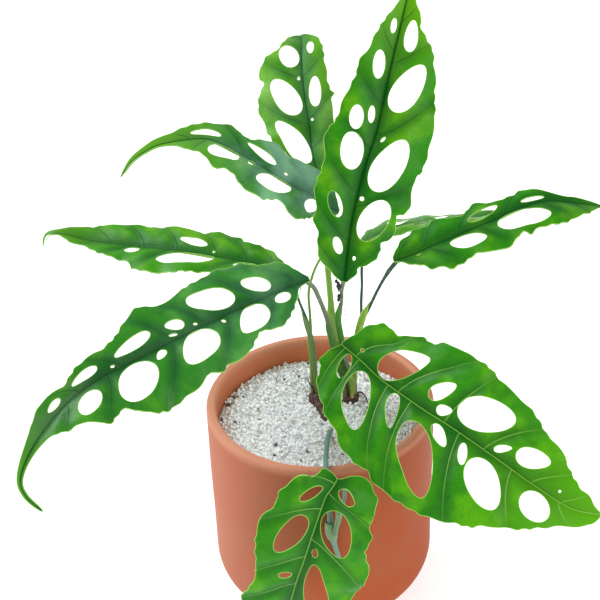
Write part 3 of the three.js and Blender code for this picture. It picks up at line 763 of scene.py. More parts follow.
LEAVES: tuple[Leaf, ...] = (
    Leaf(
        name="upright",
        half=24,
        face=((-0.04, -0.85, 0.5), (-0.04, -0.87, 0.46)),
        rib=(
            (13, -8, 191), (15, -3, 205), (18, 5, 220), (24, 15, 239), (30, 24, 253), (36, 36, 274),
            (42, 48, 293), (47, 55, 311),
        ),
        left=(
            (3, 5), (10, 12), (14, 14), (23, 15), (26, 18), (31, 17), (35, 19), (41, 20), (52, 19),
            (61, 22), (65, 22), (71, 20), (84, 18), (95, 15), (101, 15), (108, 12), (120, 9), (131, 4),
        ),
        right=(
            (2, 3), (5, 6), (8, 6), (11, 12), (16, 15), (20, 15), (22, 18), (28, 21), (35, 20), (38, 24),
            (43, 25), (55, 24), (63, 26), (83, 25), (93, 23), (103, 21), (108, 19), (114, 17), (122, 10),
            (126, 9), (135, 4),
        ),
        veins_left=((5, 16, 13), (20, 34, 17), (42, 57, 19), (64, 76, 18), (85, 98, 14), (110, 120, 8)),
        veins_right=((6, 20, 16), (36, 54, 24), (70, 92, 24), (104, 119, 17), (124, 133, 6)),
        holes=(
            (17, -4.8, 8, 4, -23, 0), (35, -9, 12, 6, -30, 0), (60, -8, 17, 10.5, -18, 0),
            (76, -10.5, 12, 6.5, -7, 0), (79, -4, 8, 3, -7, 0), (102, -5.5, 13, 5.5, -8, 0),
            (121, -3, 7, 2.6, -4, 0), (31, 10, 22, 13, 20, 0), (58, 10.5, 27, 14, 16, 0.1),
            (94, 10, 25, 12.5, 22, 0.2), (118, 6, 15, 6, -5, 0.2),
        ),
        pinholes=((69, 4, 3, 1.2, 29), (40, 2.5, 2, 2, 0), (12, 3.5, 2, 1.4, 0)),
        stalk=(
            (16, 14, 104), (15.8, 13.8, 118), (14, 13.4, 130), (12, 12.4, 145), (11, 9, 159), (12, 3, 174),
            (12, -3, 184),
        ),
        look=Look.UPRIGHT,
        stalk_look=StalkLook.GREY,
        sheath_look=StalkLook.SHEATH_DARK,
        sheath_end=0.76,
        girth=1.15,
        sheath_width=1.6,
    ),
    Leaf(
        name="front_right",
        half=36,
        face=((0, -0.8, 0.6), (0.15, -0.85, 0.5)),
        rib=(
            (11, -20, 164), (20, -30, 161), (29, -40, 157), (46, -57, 153), (58, -67, 150), (78, -83, 143),
            (90, -92, 138), (106, -101, 131), (119, -105, 130),
        ),
        left=(
            (2, 5), (4, 9), (7, 15), (12, 20), (18, 20), (22, 22), (32, 27), (39, 27), (46, 31), (63, 32),
            (70, 31), (77, 29), (94, 26), (105, 21), (112, 20), (120, 15), (128, 11), (137, 8), (141, 3),
        ),
        right=(
            (-2, 7), (-1, 13), (2, 15), (5, 21), (10, 25), (17, 27), (21, 30), (26, 31), (32, 36),
            (43, 38), (47, 37), (52, 40), (66, 41), (82, 39), (94, 34), (102, 31), (107, 26), (117, 20),
            (125, 13), (130, 9), (136, 6), (141, 4),
        ),
        veins_left=(
            (10, 30, 26), (38, 62, 30), (64.5, 73, 30), (86, 104, 24), (111, 124, 13), (126, 136, 7),
        ),
        veins_right=(
            (3, 7, 22), (12.5, 21, 30), (32, 47, 36), (46, 56, 38), (73, 92, 40), (101, 115, 24),
            (125, 134, 8),
        ),
        holes=(
            (33, -11.5, 27, 13, -39, 0.35), (57, -11.5, 14, 7, -49, 0.3), (62, -4.5, 7, 4.4, -30, 0.3),
            (79, -13, 26, 15, -22, 0.15), (93, -5, 8, 3, -37, 0.3), (106, -9, 15, 8.5, -22, 0.2),
            (10, 7, 13, 5.5, 62, 0), (26, 14.5, 27, 12, 56, 0.1), (42, 8.5, 17, 5.6, 57, 0.4),
            (64, 20.5, 35, 15.5, 46, 0.15), (66.5, 6, 12, 5, 29, 0.2), (80, 7, 10, 4, 57, 0),
            (95, 12.5, 24, 14, 33, 0.1), (117.5, 7.5, 14, 11.5, 15, 0),
        ),
        pinholes=((11, -4, 2, 1.5, 0), (123, -4, 1.2, 1.2, 0)),
        stalk=((17, 11.8, 104), (17, 11, 117), (15.5, 5, 131), (13, -5, 146), (11.6, -13, 156)),
        look=Look.FRESH,
        stalk_look=StalkLook.GREY,
        sheath_look=StalkLook.SHEATH,
        sheath_end=0.4,
        girth=1.3,
        sheath_width=1.7,
    ),
    Leaf(
        name="front_left",
        half=25,
        face=((-0.1, -0.5, 0.85), (0, -0.6, 0.8)),
        rib=(
            (-3, -8, 193), (-13, -16, 194), (-31, -30, 194), (-48, -44, 194), (-81, -72, 193),
            (-95, -86, 193), (-107, -98, 188), (-117, -109, 179), (-123, -114, 167), (-122, -115, 158),
            (-116, -115, 149),
        ),
        left=(
            (8, 3), (11, 5), (17, 11), (21, 14), (28, 18), (35, 18), (39, 16), (44, 18), (53, 23),
            (63, 23), (69, 25), (74, 23), (88, 27), (101, 27), (111, 25), (119, 19), (129, 20), (135, 13),
            (142, 10), (149, 5), (159, 2.5), (172, 1.4), (186, 1),
        ),
        right=(
            (3, 4), (6, 8), (11, 14), (16, 14), (23, 18), (28, 22), (43, 22), (52, 22), (62, 19), (72, 18),
            (81, 21), (87, 20), (94, 16), (101, 12), (109, 10), (117, 10), (124, 8), (130, 6), (138, 8),
            (146, 6), (157, 3), (172, 1.4), (186, 1),
        ),
        veins_left=((6, 19, 12), (24, 38, 18), (49, 66, 23), (79, 98, 27), (113, 127, 20), (134, 144, 9)),
        veins_right=((8, 24, 17), (31, 46, 21), (60, 72, 18), (78, 90, 18), (105, 115, 9), (127, 134, 6)),
        holes=(
            (27, 7, 14, 7, 31, 0.1), (51, 9, 23, 11, 18, 0.1), (73, 5.5, 9, 4.6, 17, 0.2),
            (95, 6, 20, 5, -8, 0.3), (121, 4, 13, 3.4, -3, 0.4), (138, 3, 7, 2.6, -4, 0.2),
            (20, -5, 9, 6, -21, 0), (40, -9, 21, 11.5, -28, 0.35), (70, -9.5, 22, 14, -26, 0.25),
            (87, -4.5, 7, 3.4, -30, 0.3), (104.5, -11, 25, 15, -26, 0.1), (127.5, -7.5, 13, 8.5, -20, 0),
        ),
        pinholes=((76, 2, 4, 1, 14), (64, 2, 2, 1, 14), (108, 1.6, 2, 1, 5), (52, -3, 2, 2, 0)),
        stalk=(
            (13.7, 13.2, 104), (12.8, 12.7, 118), (10.4, 11.6, 128), (8, 10.6, 140), (7, 10, 149),
            (5, 7, 160), (3, 4, 169), (1, 1, 177), (-1.2, -4, 186),
        ),
        look=Look.DEEP,
        stalk_look=StalkLook.GREY,
        sheath_look=StalkLook.SHEATH_DARK,
        sheath_end=0.62,
        girth=1.45,
        sheath_width=1.45,
    ),
    Leaf(
        name="left",
        half=21,
        face=((0, -0.1, 1), (0, -0.1, 1)),
        rib=(
            (-15, 8, 191), (-26, 12, 190), (-42, 17, 191), (-67, 25, 192), (-88, 32, 191), (-102, 36, 191),
            (-115, 40, 191), (-127, 43, 193), (-135, 44, 192), (-138, 44, 185),
        ),
        left=(
            (3, 4), (8, 9), (15, 12), (22, 13), (28, 16), (35, 15), (45, 18), (50, 20), (60, 20), (65, 21),
            (71, 20), (77, 15), (82, 15.5), (93, 12), (103, 8), (112, 7), (119, 3), (127, 1.4), (131, 1),
        ),
        right=(
            (2, 3), (5, 5), (10, 9), (18, 12), (24, 12), (29, 16), (36, 17), (46, 14), (53, 16), (58, 15),
            (67, 16), (76, 14), (92, 13), (105, 8), (114, 5), (120, 2.4), (127, 1.4), (131, 1),
        ),
        veins_left=((5, 15, 12), (24, 37, 16), (59, 72, 19), (80, 91, 11), (98, 107, 7)),
        veins_right=((6, 16, 10), (20, 32, 15), (36, 46, 14), (56, 68, 15), (74, 86, 13), (92, 103, 8)),
        holes=(
            (49, 6, 15, 4.5, 8, 0.1), (77, -6.5, 8, 5, -12, 0.1), (48, -8, 28, 9.5, -17, 0.1),
            (19, -5, 11, 5, -24, 0.2),
        ),
        pinholes=((37, 2, 1.5, 1.2, 0),),
        stalk=(
            (-1.4, 16.2, 103), (-1.7, 15.4, 122), (-2.6, 14.2, 141), (-4.8, 13, 155), (-8, 12, 166),
            (-10, 11.2, 174), (-12.4, 9.6, 183),
        ),
        look=Look.LUSH,
        stalk_look=StalkLook.DARK,
        sheath_look=StalkLook.SHEATH_GREY,
        sheath_end=0.68,
        girth=0.85,
        sheath_width=1.4,
    ),
    Leaf(
        name="rear_left",
        half=20,
        face=((0.3, -0.35, 0.9), (0, -0.2, 1)),
        rib=(
            (12, 34, 205), (0, 34, 215), (-9, 33, 221), (-26, 30, 235), (-37, 27, 244), (-47, 24, 251),
            (-56, 21, 253), (-68, 15, 254), (-74, 12, 253), (-82, 8, 249), (-88, 5, 242),
        ),
        left=(
            (2, 4), (6, 10), (13, 14), (19, 18), (25, 21), (29, 20), (34, 16), (39, 18), (46, 22),
            (54, 21), (66, 19), (78, 19), (84, 14), (91, 10), (97, 5), (106, 2.6), (116, 1.6),
        ),
        right=(
            (2, 3), (6, 8), (11, 13), (17, 16), (30, 17), (36, 19), (45, 18), (55, 11), (61, 11), (66, 14),
            (77, 9), (89, 6), (97, 4), (106, 2.6), (116, 1.6),
        ),
        veins_left=((5, 12, 14), (19, 30, 20), (47, 60, 20), (78, 90, 10)),
        veins_right=((5, 15, 13), (20, 32, 16), (35, 46, 17), (58, 68, 12), (86, 94, 4.5)),
        holes=(
            (78, 3.4, 14, 3, -4, 0.2), (48, 6, 17, 5, 9, 0.1), (71, -8, 19, 9.5, -22, 0.15),
            (54, -4.4, 6, 2.6, -40, 0), (40.5, -9, 23, 10, -24, 0.1), (17, -9, 12, 7, -54, 0),
        ),
        pinholes=((33, 3, 2, 1.4, 0),),
        stalk=(
            (-3.4, 17.8, 103), (-3.2, 17.6, 120), (-3.4, 17.5, 139), (-3.6, 17.5, 156), (-4, 18, 168),
            (-2.8, 19, 175), (0, 22.5, 181.5), (4, 27, 187), (8, 31.5, 195),
        ),
        look=Look.SHEEN,
        stalk_look=StalkLook.LIGHT,
        sheath_look=StalkLook.SHEATH,
        sheath_end=0.42,
        girth=0.85,
        sheath_width=1.3,
    ),
    Leaf(
        name="rear_upper",
        half=20,
        face=((0, -0.9, 0.43), (0, -0.8, 0.6)),
        rib=(
            (4, 52, 211), (0, 62, 224), (-1, 70, 234), (-3, 79, 246), (-4, 90, 257), (-4, 99, 263),
            (-4, 108, 265), (-5, 118, 265),
        ),
        left=(
            (2, 3), (8, 9), (16, 15), (24, 19), (29, 21), (35, 22), (43, 24), (49, 23), (55, 20), (58, 22),
            (63, 21), (68, 18), (71, 13), (78, 9), (85, 7),
        ),
        right=(
            (2, 3), (8, 7), (16, 10), (25, 12), (33, 13), (41, 13), (46, 15), (49, 13), (60, 12), (72, 11),
            (79, 9), (85, 5),
        ),
        veins_left=((4, 16, 15), (32, 47, 23), (56, 66, 20), (74, 82, 9)),
        veins_right=((5, 16, 9), (20, 31, 12), (35, 46, 14), (58, 69, 11), (78, 84, 5)),
        holes=(
            (68, -6.4, 13, 10, -14, 0), (47, -9.5, 21, 11.5, -33, 0.15), (24.5, -9, 27, 10, -31, 0.2),
            (74, 4.4, 9, 3.6, -2, 0), (48, 5.5, 16, 6, 5, 0.1),
        ),
        pinholes=((56, -2, 2, 1.5, 0), (34, 2, 1.2, 1.2, 0)),
        stalk=(
            (14.9, 16.3, 104), (14.2, 16.8, 118), (12, 17, 128), (9.5, 18, 138), (8, 22, 150),
            (7, 27, 159), (6, 35, 173), (5, 43, 188), (4.4, 49, 202),
        ),
        look=Look.HAZY,
        stalk_look=StalkLook.LIGHT,
        sheath_look=StalkLook.SHEATH,
        sheath_end=0.49,
        girth=1.9,
        sheath_width=1.95,
    ),
    Leaf(
        name="right",
        half=19,
        face=((-0.1, -0.2, 1), (0.1, -0.2, 1)),
        rib=(
            (37, 5, 194), (44, 7, 195), (58, 11, 199), (72, 15, 203), (85, 18, 207), (99, 21, 212),
            (112, 23, 214), (127, 25, 211), (139, 25, 209),
        ),
        left=(
            (2, 4), (7, 9), (12, 11), (16, 14), (22, 12), (27, 14), (31, 13), (36, 10), (41, 10), (46, 13),
            (50, 13), (55, 9), (65, 8), (69, 9), (76, 7), (81, 5), (88, 3), (95, 3),
        ),
        right=(
            (3, 4), (6, 8), (10, 10), (14, 15), (19, 17), (22, 20), (28, 18), (35, 17), (47, 20), (60, 17),
            (64, 20), (70, 17), (80, 18), (85, 17), (89, 14), (94, 11), (99, 9), (104, 4),
        ),
        veins_left=((3, 11, 10), (16, 26, 13), (34, 43, 10), (58, 66, 8), (80, 87, 4)),
        veins_right=((4, 12, 13), (18, 30, 18), (44, 56, 19), (76, 90, 16), (92, 100, 8)),
        holes=(
            (49, -5, 16, 4.6, -6, 0.1), (73, -2.4, 11, 2, 2, 0), (36, 8, 18, 9, 17, 0.1),
            (65, 8.5, 26, 12, 13, 0.2),
        ),
        pinholes=((12, 3, 2, 1, 0),),
        stalk=(
            (18.3, 13.9, 104), (18.4, 13.9, 121), (19, 14, 137), (20.4, 14, 146), (23, 13, 156),
            (26, 12, 164), (29, 10, 173), (32, 8, 181), (35, 6, 188),
        ),
        look=Look.UPRIGHT,
        stalk_look=StalkLook.DARK,
        sheath_look=StalkLook.SHEATH,
        sheath_end=0.7,
        girth=1.0,
        sheath_width=1.9,
    ),
    Leaf(
        name="rear_right",
        half=17,
        face=((0, 0.36, 0.93), (0, 0.36, 0.93)),
        rib=(
            (23, 36, 186), (32, 40, 188), (39, 44, 189), (49, 50, 188), (65, 60, 184), (83, 72, 178),
            (96, 80, 177), (102, 84, 175),
        ),
        left=(
            (3, 5), (9, 11), (17, 15), (24, 15), (30, 17), (44, 16), (52, 17), (60, 14), (70, 11), (80, 7),
            (88, 3),
        ),
        right=(
            (3, 5), (9, 11), (16, 15), (25, 17), (33, 16), (40, 18), (52, 16), (60, 15), (68, 11), (79, 7),
            (88, 3),
        ),
        veins_left=((4, 14, 13), (36, 46, 16), (62, 72, 11)),
        veins_right=((4, 14, 13), (31, 40, 17), (57, 66, 13), (74, 82, 6)),
        holes=(
            (28, -7.5, 18, 8, -22, 0.1), (55, -6.5, 15, 6, -18, 0.2), (24, 7.5, 15, 7, 26, 0),
            (47, 8, 19, 8, 20, 0.2), (68, 4.6, 11, 3.6, 12, 0.2),
        ),
        stalk=(
            (17.1, 16.3, 104), (18, 16.9, 116), (20, 18, 134), (22, 20.5, 152), (22.3, 23.5, 160),
            (22.8, 26, 168), (23, 30, 176),
        ),
        look=Look.HAZY,
        stalk_look=StalkLook.DARK,
        sheath_look=StalkLook.GREY,
        sheath_end=0.45,
        girth=0.9,
        sheath_width=1.2,
    ),
    Leaf(
        name="runner",
        half=28,
        face=((0, -0.95, 0.3), (0, -1, 0.05)),
        rib=(
            (7, -74, 128), (6, -76, 127), (4, -78, 125), (1, -80, 121), (-4, -86, 109), (-7, -88, 100),
            (-10, -89, 90), (-13, -89, 80), (-16, -88, 67), (-19, -86, 53), (-22, -83, 35),
        ),
        left=(
            (-2, 3.5), (-5, 8), (-4, 14), (-1, 18), (3, 22), (8, 23), (18, 24), (22, 26), (29, 25),
            (36, 28), (41, 30), (53, 30), (63, 26), (70, 22), (82, 17), (93, 9), (100, 4),
        ),
        right=(
            (-0.5, 4), (0, 8), (5, 11), (9, 17), (14, 21), (20, 21), (24, 24), (33, 25), (43, 23),
            (49, 21), (58, 20), (68, 23), (74, 23), (81, 21), (87, 17), (93, 10), (100, 4),
        ),
        veins_left=((8, 18, 23), (31, 50, 28), (76, 90, 13)),
        veins_right=((3, 6, 13), (16, 26, 22), (41, 56, 22), (58, 72, 23), (76, 90, 14)),
        holes=(
            (11, 7.5, 10, 4, 46, 0), (30, 10, 20, 10.5, 26, 0.1), (52, 6.5, 6, 3.6, 80, 0),
            (5, -7.5, 9, 4, -80, 0.2), (25, -10, 23, 13, -29, 0.15), (37, -3.4, 4.4, 2.6, -12, 0),
            (59, -9.5, 34, 11, -16, -0.25),
        ),
        stalk=((5.4, -64, 85), (8, -65, 98), (10, -68.6, 111), (10, -70, 118), (8.8, -71.5, 123.2)),
        look=Look.FRESH,
        stalk_look=StalkLook.RUNNER,
        sheath_look=StalkLook.RUNNER_SHEATH,
        sheath_end=0.4,
        girth=1.2,
        sheath_width=1.6,
    ),
)


def link(name: str, data: bpy.types.ID) -> bpy.types.Object:
    """Returns a new object of the scene that shows the data."""
    item = bpy.data.objects.new(name, data)
    bpy.context.scene.collection.objects.link(item)
    return item


class Piece:
    """A mesh under construction and the object that it becomes."""

    def __init__(self, name: str) -> None:
        """Starts an empty mesh."""
        self.name = name
        self.bm = bmesh.new()

    def finish(self, slot: str, nodes: Sequence[str], *materials: bpy.types.Material) -> None:
        """Makes the object, which rides on the pot's body.

        Args:
            slot: The record's material slot, which is not used.
            nodes: The nodes of the frame that it stands for.
            materials: Its materials, in the order of the faces' material numbers.
        """
        mesh = bpy.data.meshes.new(self.name)
        self.bm.to_mesh(mesh)
        self.bm.free()
        for material in materials:
            mesh.materials.append(material)
        piece = link(self.name, mesh)
        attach(piece, BODY)
        if nodes:
            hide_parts(*nodes)
        log.info("%s: %d triangles", self.name, sum(len(face.vertices) - 2 for face in mesh.polygons))


def soften(bm: Mesh) -> None:
    """Shades a mesh smooth, apart from its sharp edges."""
    for face in bm.faces:
        face.smooth = True
    for edge in bm.edges:
        edge.smooth = edge.calc_face_angle(0.0) < SHARP


def lathe(bm: Mesh, section: Sequence[Spot], segments: int) -> None:
    """Turns a section about the vertical axis into a closed form.

    Args:
        bm: The mesh that gets it.
        section: Points as (radius, height), from the axis round to the axis.
        segments: The number of steps of a full turn.
    """
    verts = [bm.verts.new((radius * MM, 0, height * MM)) for radius, height in section]
    edges = [bm.edges.new(pair) for pair in zip(verts, verts[1:])]
    bmesh.ops.spin(
        bm, geom=[*verts, *edges], cent=(0, 0, 0), axis=(0, 0, 1), angle=math.tau, steps=segments,
        use_merge=True, use_duplicate=False,
    )
    bmesh.ops.remove_doubles(bm, verts=bm.verts, dist=WELD)
    bmesh.ops.recalc_face_normals(bm, faces=bm.faces)


def across_frame(place: Vector, forward: Vector, toward: Vector, wide: float, thick: float) -> Matrix:
    """Returns the matrix that lays a unit circle across a direction.

    Args:
        place: The circle's middle.
        forward: The direction that it faces.
        toward: The rough direction of its first axis.
        wide: Its radius along that axis.
        thick: Its radius along the other.

    Returns:
        The matrix, in the units of place.
    """
    second = forward.cross(toward).normalized()
    first = second.cross(forward).normalized()
    columns = (first * wide, second * thick, forward.normalized())
    return Matrix.Translation(place) @ Matrix(columns).transposed().to_4x4()


def only(items: Iterable[object], kind: type) -> list:
    """Returns the items of one kind."""
    return [item for item in items if isinstance(item, kind)]


def faces_at(rings: Iterable[Iterable[bmesh.types.BMVert]]) -> list[bmesh.types.BMFace]:
    """Returns the faces that touch the points of some rings."""
    return list(dict.fromkeys(face for ring in rings for vert in ring for face in vert.link_faces))


def loft(bm: Mesh, frames: Sequence[Matrix], sides: int, open_from: int = 0) -> Rings:
    """Draws a circle from frame to frame.

    Args:
        bm: The mesh that gets the tube.
        frames: One matrix for each ring, as across_frame gives them.
        sides: The number of points round each ring.
        open_from: 0 for a closed tube with capped ends, else the number of points kept of an open one.

    Returns:
        The points of each ring.
    """
    made = bmesh.ops.create_circle(bm, cap_ends=False, segments=sides, radius=1.0, matrix=frames[0])["verts"]
    if open_from:
        bmesh.ops.delete(bm, geom=made[open_from:], context="VERTS")
        made = made[:open_from]
    chosen = set(made)
    met = dict.fromkeys(edge for vert in made for edge in vert.link_edges)
    first_edges = edges = [edge for edge in met if chosen.issuperset(edge.verts)]
    rings = [made]
    for before, after in zip(frames, frames[1:]):
        extruded = bmesh.ops.extrude_edge_only(bm, edges=edges)["geom"]
        ring = only(extruded, bmesh.types.BMVert)
        edges = only(extruded, bmesh.types.BMEdge)
        bmesh.ops.transform(bm, matrix=after @ before.inverted(), verts=ring)
        rings.append(ring)
    if not open_from:
        bmesh.ops.edgeloop_fill(bm, edges=first_edges)
        bmesh.ops.edgeloop_fill(bm, edges=edges)
        bmesh.ops.recalc_face_normals(bm, faces=faces_at(rings))
    return rings


def mark(rings: Rings, layer: Layer, marks: Sequence[float]) -> None:
    """Writes one mark on all points of each ring."""
    for ring, value in zip(rings, marks):
        for vert in ring:
            vert[layer] = value


def open_sleeve(bm: Mesh, frames: Sequence[Matrix], kept: int, layer: Layer, marks: Sequence[float]) -> None:
    """Draws a thin open sleeve with the sheath's material number.

    Args:
        bm: The mesh that gets the sleeve.
        frames: One matrix for each ring.
        kept: How many of the SLEEVE_SIDES points of each ring stay.
        layer: The layer that gets each ring's mark.
        marks: The marks.
    """
    rings = loft(bm, frames, SLEEVE_SIDES, kept)
    mark(rings, layer, marks)
    faces = faces_at(rings)
    bmesh.ops.recalc_face_normals(bm, faces=faces)
    made = bmesh.ops.solidify(bm, geom=faces, thickness=SHEATH_THICKNESS)["geom"]
    for face in (*faces_at(rings), *only(made, bmesh.types.BMFace)):
        face.material_index = 1


def tube_frames(
    path: Path, shares: Sequence[float], radius: Callable[[float], float], toward: Vector
) -> list[Matrix]:
    """Returns one ring frame in metres for each share of a path's length.

    Args:
        path: The middle line, in millimetres.
        shares: Where along it the rings stand, from 0 to 1.
        radius: Gives the radius at a share.
        toward: The rough direction of each ring's first axis.

    Returns:
        The frames.
    """
    frames = []
    for share in shares:
        size = radius(share)
        frames.append(TO_METRES @ across_frame(path.at(share), path.direction(share), toward, size, size))
    return frames


class LeafSurface:
    """The curved surface of a blade, in leaf coordinates: along the midrib, across it and off it."""

    CROWN = 0.44
    WAVE = 1.1
    WAVE_LENGTH = 21.0
    WAVE_LAG = 1.7
    QUILT = 1.25
    QUILT_HALF = 28
    QUILT_REACH = 4.5
    RIPPLE = 0.35
    RIPPLE_SIZE = 6.0
    RIB_GROOVE = 0.4
    GROOVE_WIDTH = 0.8
    BASE_FADE = 15
    TIP_FADE = 40
    RIB_FADE = (0.5, 5.0)
    GROOVE_FADE = (0.0, 30.0)
    QUILT_LEVEL = 0.6
    WIDEST = 1.1
    VEIN_BEND = 1.4
    VEIN_END = 1.3
    NARROWEST = 4.0
    STATIONS = 400

    def __init__(self, leaf: Leaf) -> None:
        """Works out the frame of the midrib at even stations."""
        self.leaf = leaf
        self.path = Path(leaf.rib)
        self.length = self.path.length
        base, tip = (Vector(face) for face in leaf.face)
        self.frames = []
        for share in steps(self.STATIONS):
            forward = self.path.direction(share)
            up = base.lerp(tip, share)
            up = (up - forward * up.dot(forward)).normalized()
            self.frames.append((self.path.at(share), forward, forward.cross(up), up))

    def frame_at(self, along: float) -> tuple[Vector, Vector, Vector, Vector]:
        """Returns the midrib's point, its forward, sideways and up directions."""
        share = clamp(along / self.length)
        spot = share * self.STATIONS
        low = min(int(spot), self.STATIONS - 1)
        pairs = zip(self.frames[low], self.frames[low + 1])
        place, forward, sideways, up = (first.lerp(second, spot - low) for first, second in pairs)
        return place + forward * (along - share * self.length), forward, sideways, up

    def from_vein(self, vein: Point, along: float, across: float) -> float:
        """Returns the signed distance of a spot from a side vein."""
        start, end, width = vein
        out = min(abs(across) / width, self.VEIN_END)
        slope = (end - start) / width * self.VEIN_BEND * max(out, 0.02) ** (self.VEIN_BEND - 1)
        return (along - start - (end - start) * out**self.VEIN_BEND) / math.hypot(1.0, slope)

    def nearest_vein(self, along: float, across: float) -> tuple[float, Point]:
        """Returns a spot's distance from the nearest side vein of its half, and that vein."""
        veins = self.leaf.veins_right if across > 0 else self.leaf.veins_left
        return min((abs(self.from_vein(vein, along, across)), vein) for vein in veins)

    def width_at(self, along: float, across: float) -> float:
        """Returns the rough half width of the blade there, never less than the narrowest."""
        margin = self.leaf.right if across > 0 else self.leaf.left
        for (low, first), (high, second) in zip(margin, margin[1:]):
            if low <= along <= high and high > low:
                return max(blend(first, second, (along - low) / (high - low)), self.NARROWEST)
        return max(margin[0][1], self.NARROWEST) if along < margin[0][0] else self.NARROWEST

    def relief_at(self, along: float, across: float) -> float:
        """Returns how far a spot stands off the flat blade.

        Each half blade rises from the rib and turns down again, its margin is wavy, and the panels
        between the veins are raised a little.

        Args:
            along: The distance along the midrib.
            across: The distance from it, positive on the right.

        Returns:
            The height in millimetres.
        """
        out = abs(across)
        half = self.leaf.half
        ends = clamp(along / self.BASE_FADE) * clamp((self.length - along) / self.TIP_FADE)
        fade = ends * smooth_step(out, *self.RIB_FADE)
        crown = self.CROWN * out * (1 - out / half)
        phase = math.tau * along / self.WAVE_LENGTH + (self.WAVE_LAG if across > 0 else 0.0)
        wave = self.WAVE * math.sin(phase) * min(out / half, self.WIDEST) ** 2 * ends
        distance, _ = self.nearest_vein(along, across)
        strength = self.QUILT * min(1.0, half / self.QUILT_HALF) ** 2
        quilt = strength * (smooth_step(distance, 0.0, self.QUILT_REACH) - self.QUILT_LEVEL) * fade
        spot = Vector((along / self.RIPPLE_SIZE, across / self.RIPPLE_SIZE, half))
        ripple = self.RIPPLE * noise.noise(spot) * fade
        groove = self.RIB_GROOVE * hump(out, 0.0, self.GROOVE_WIDTH)
        groove *= smooth_step(self.length - along, *self.GROOVE_FADE)
        return crown + wave + quilt + ripple - groove

    def point(self, along: float, across: float, off: float) -> Vector:
        """Returns the place of a spot of the blade, in metres."""
        place, _, sideways, up = self.frame_at(along)
        return (place + sideways * across + up * (self.relief_at(along, across) + off)) * MM


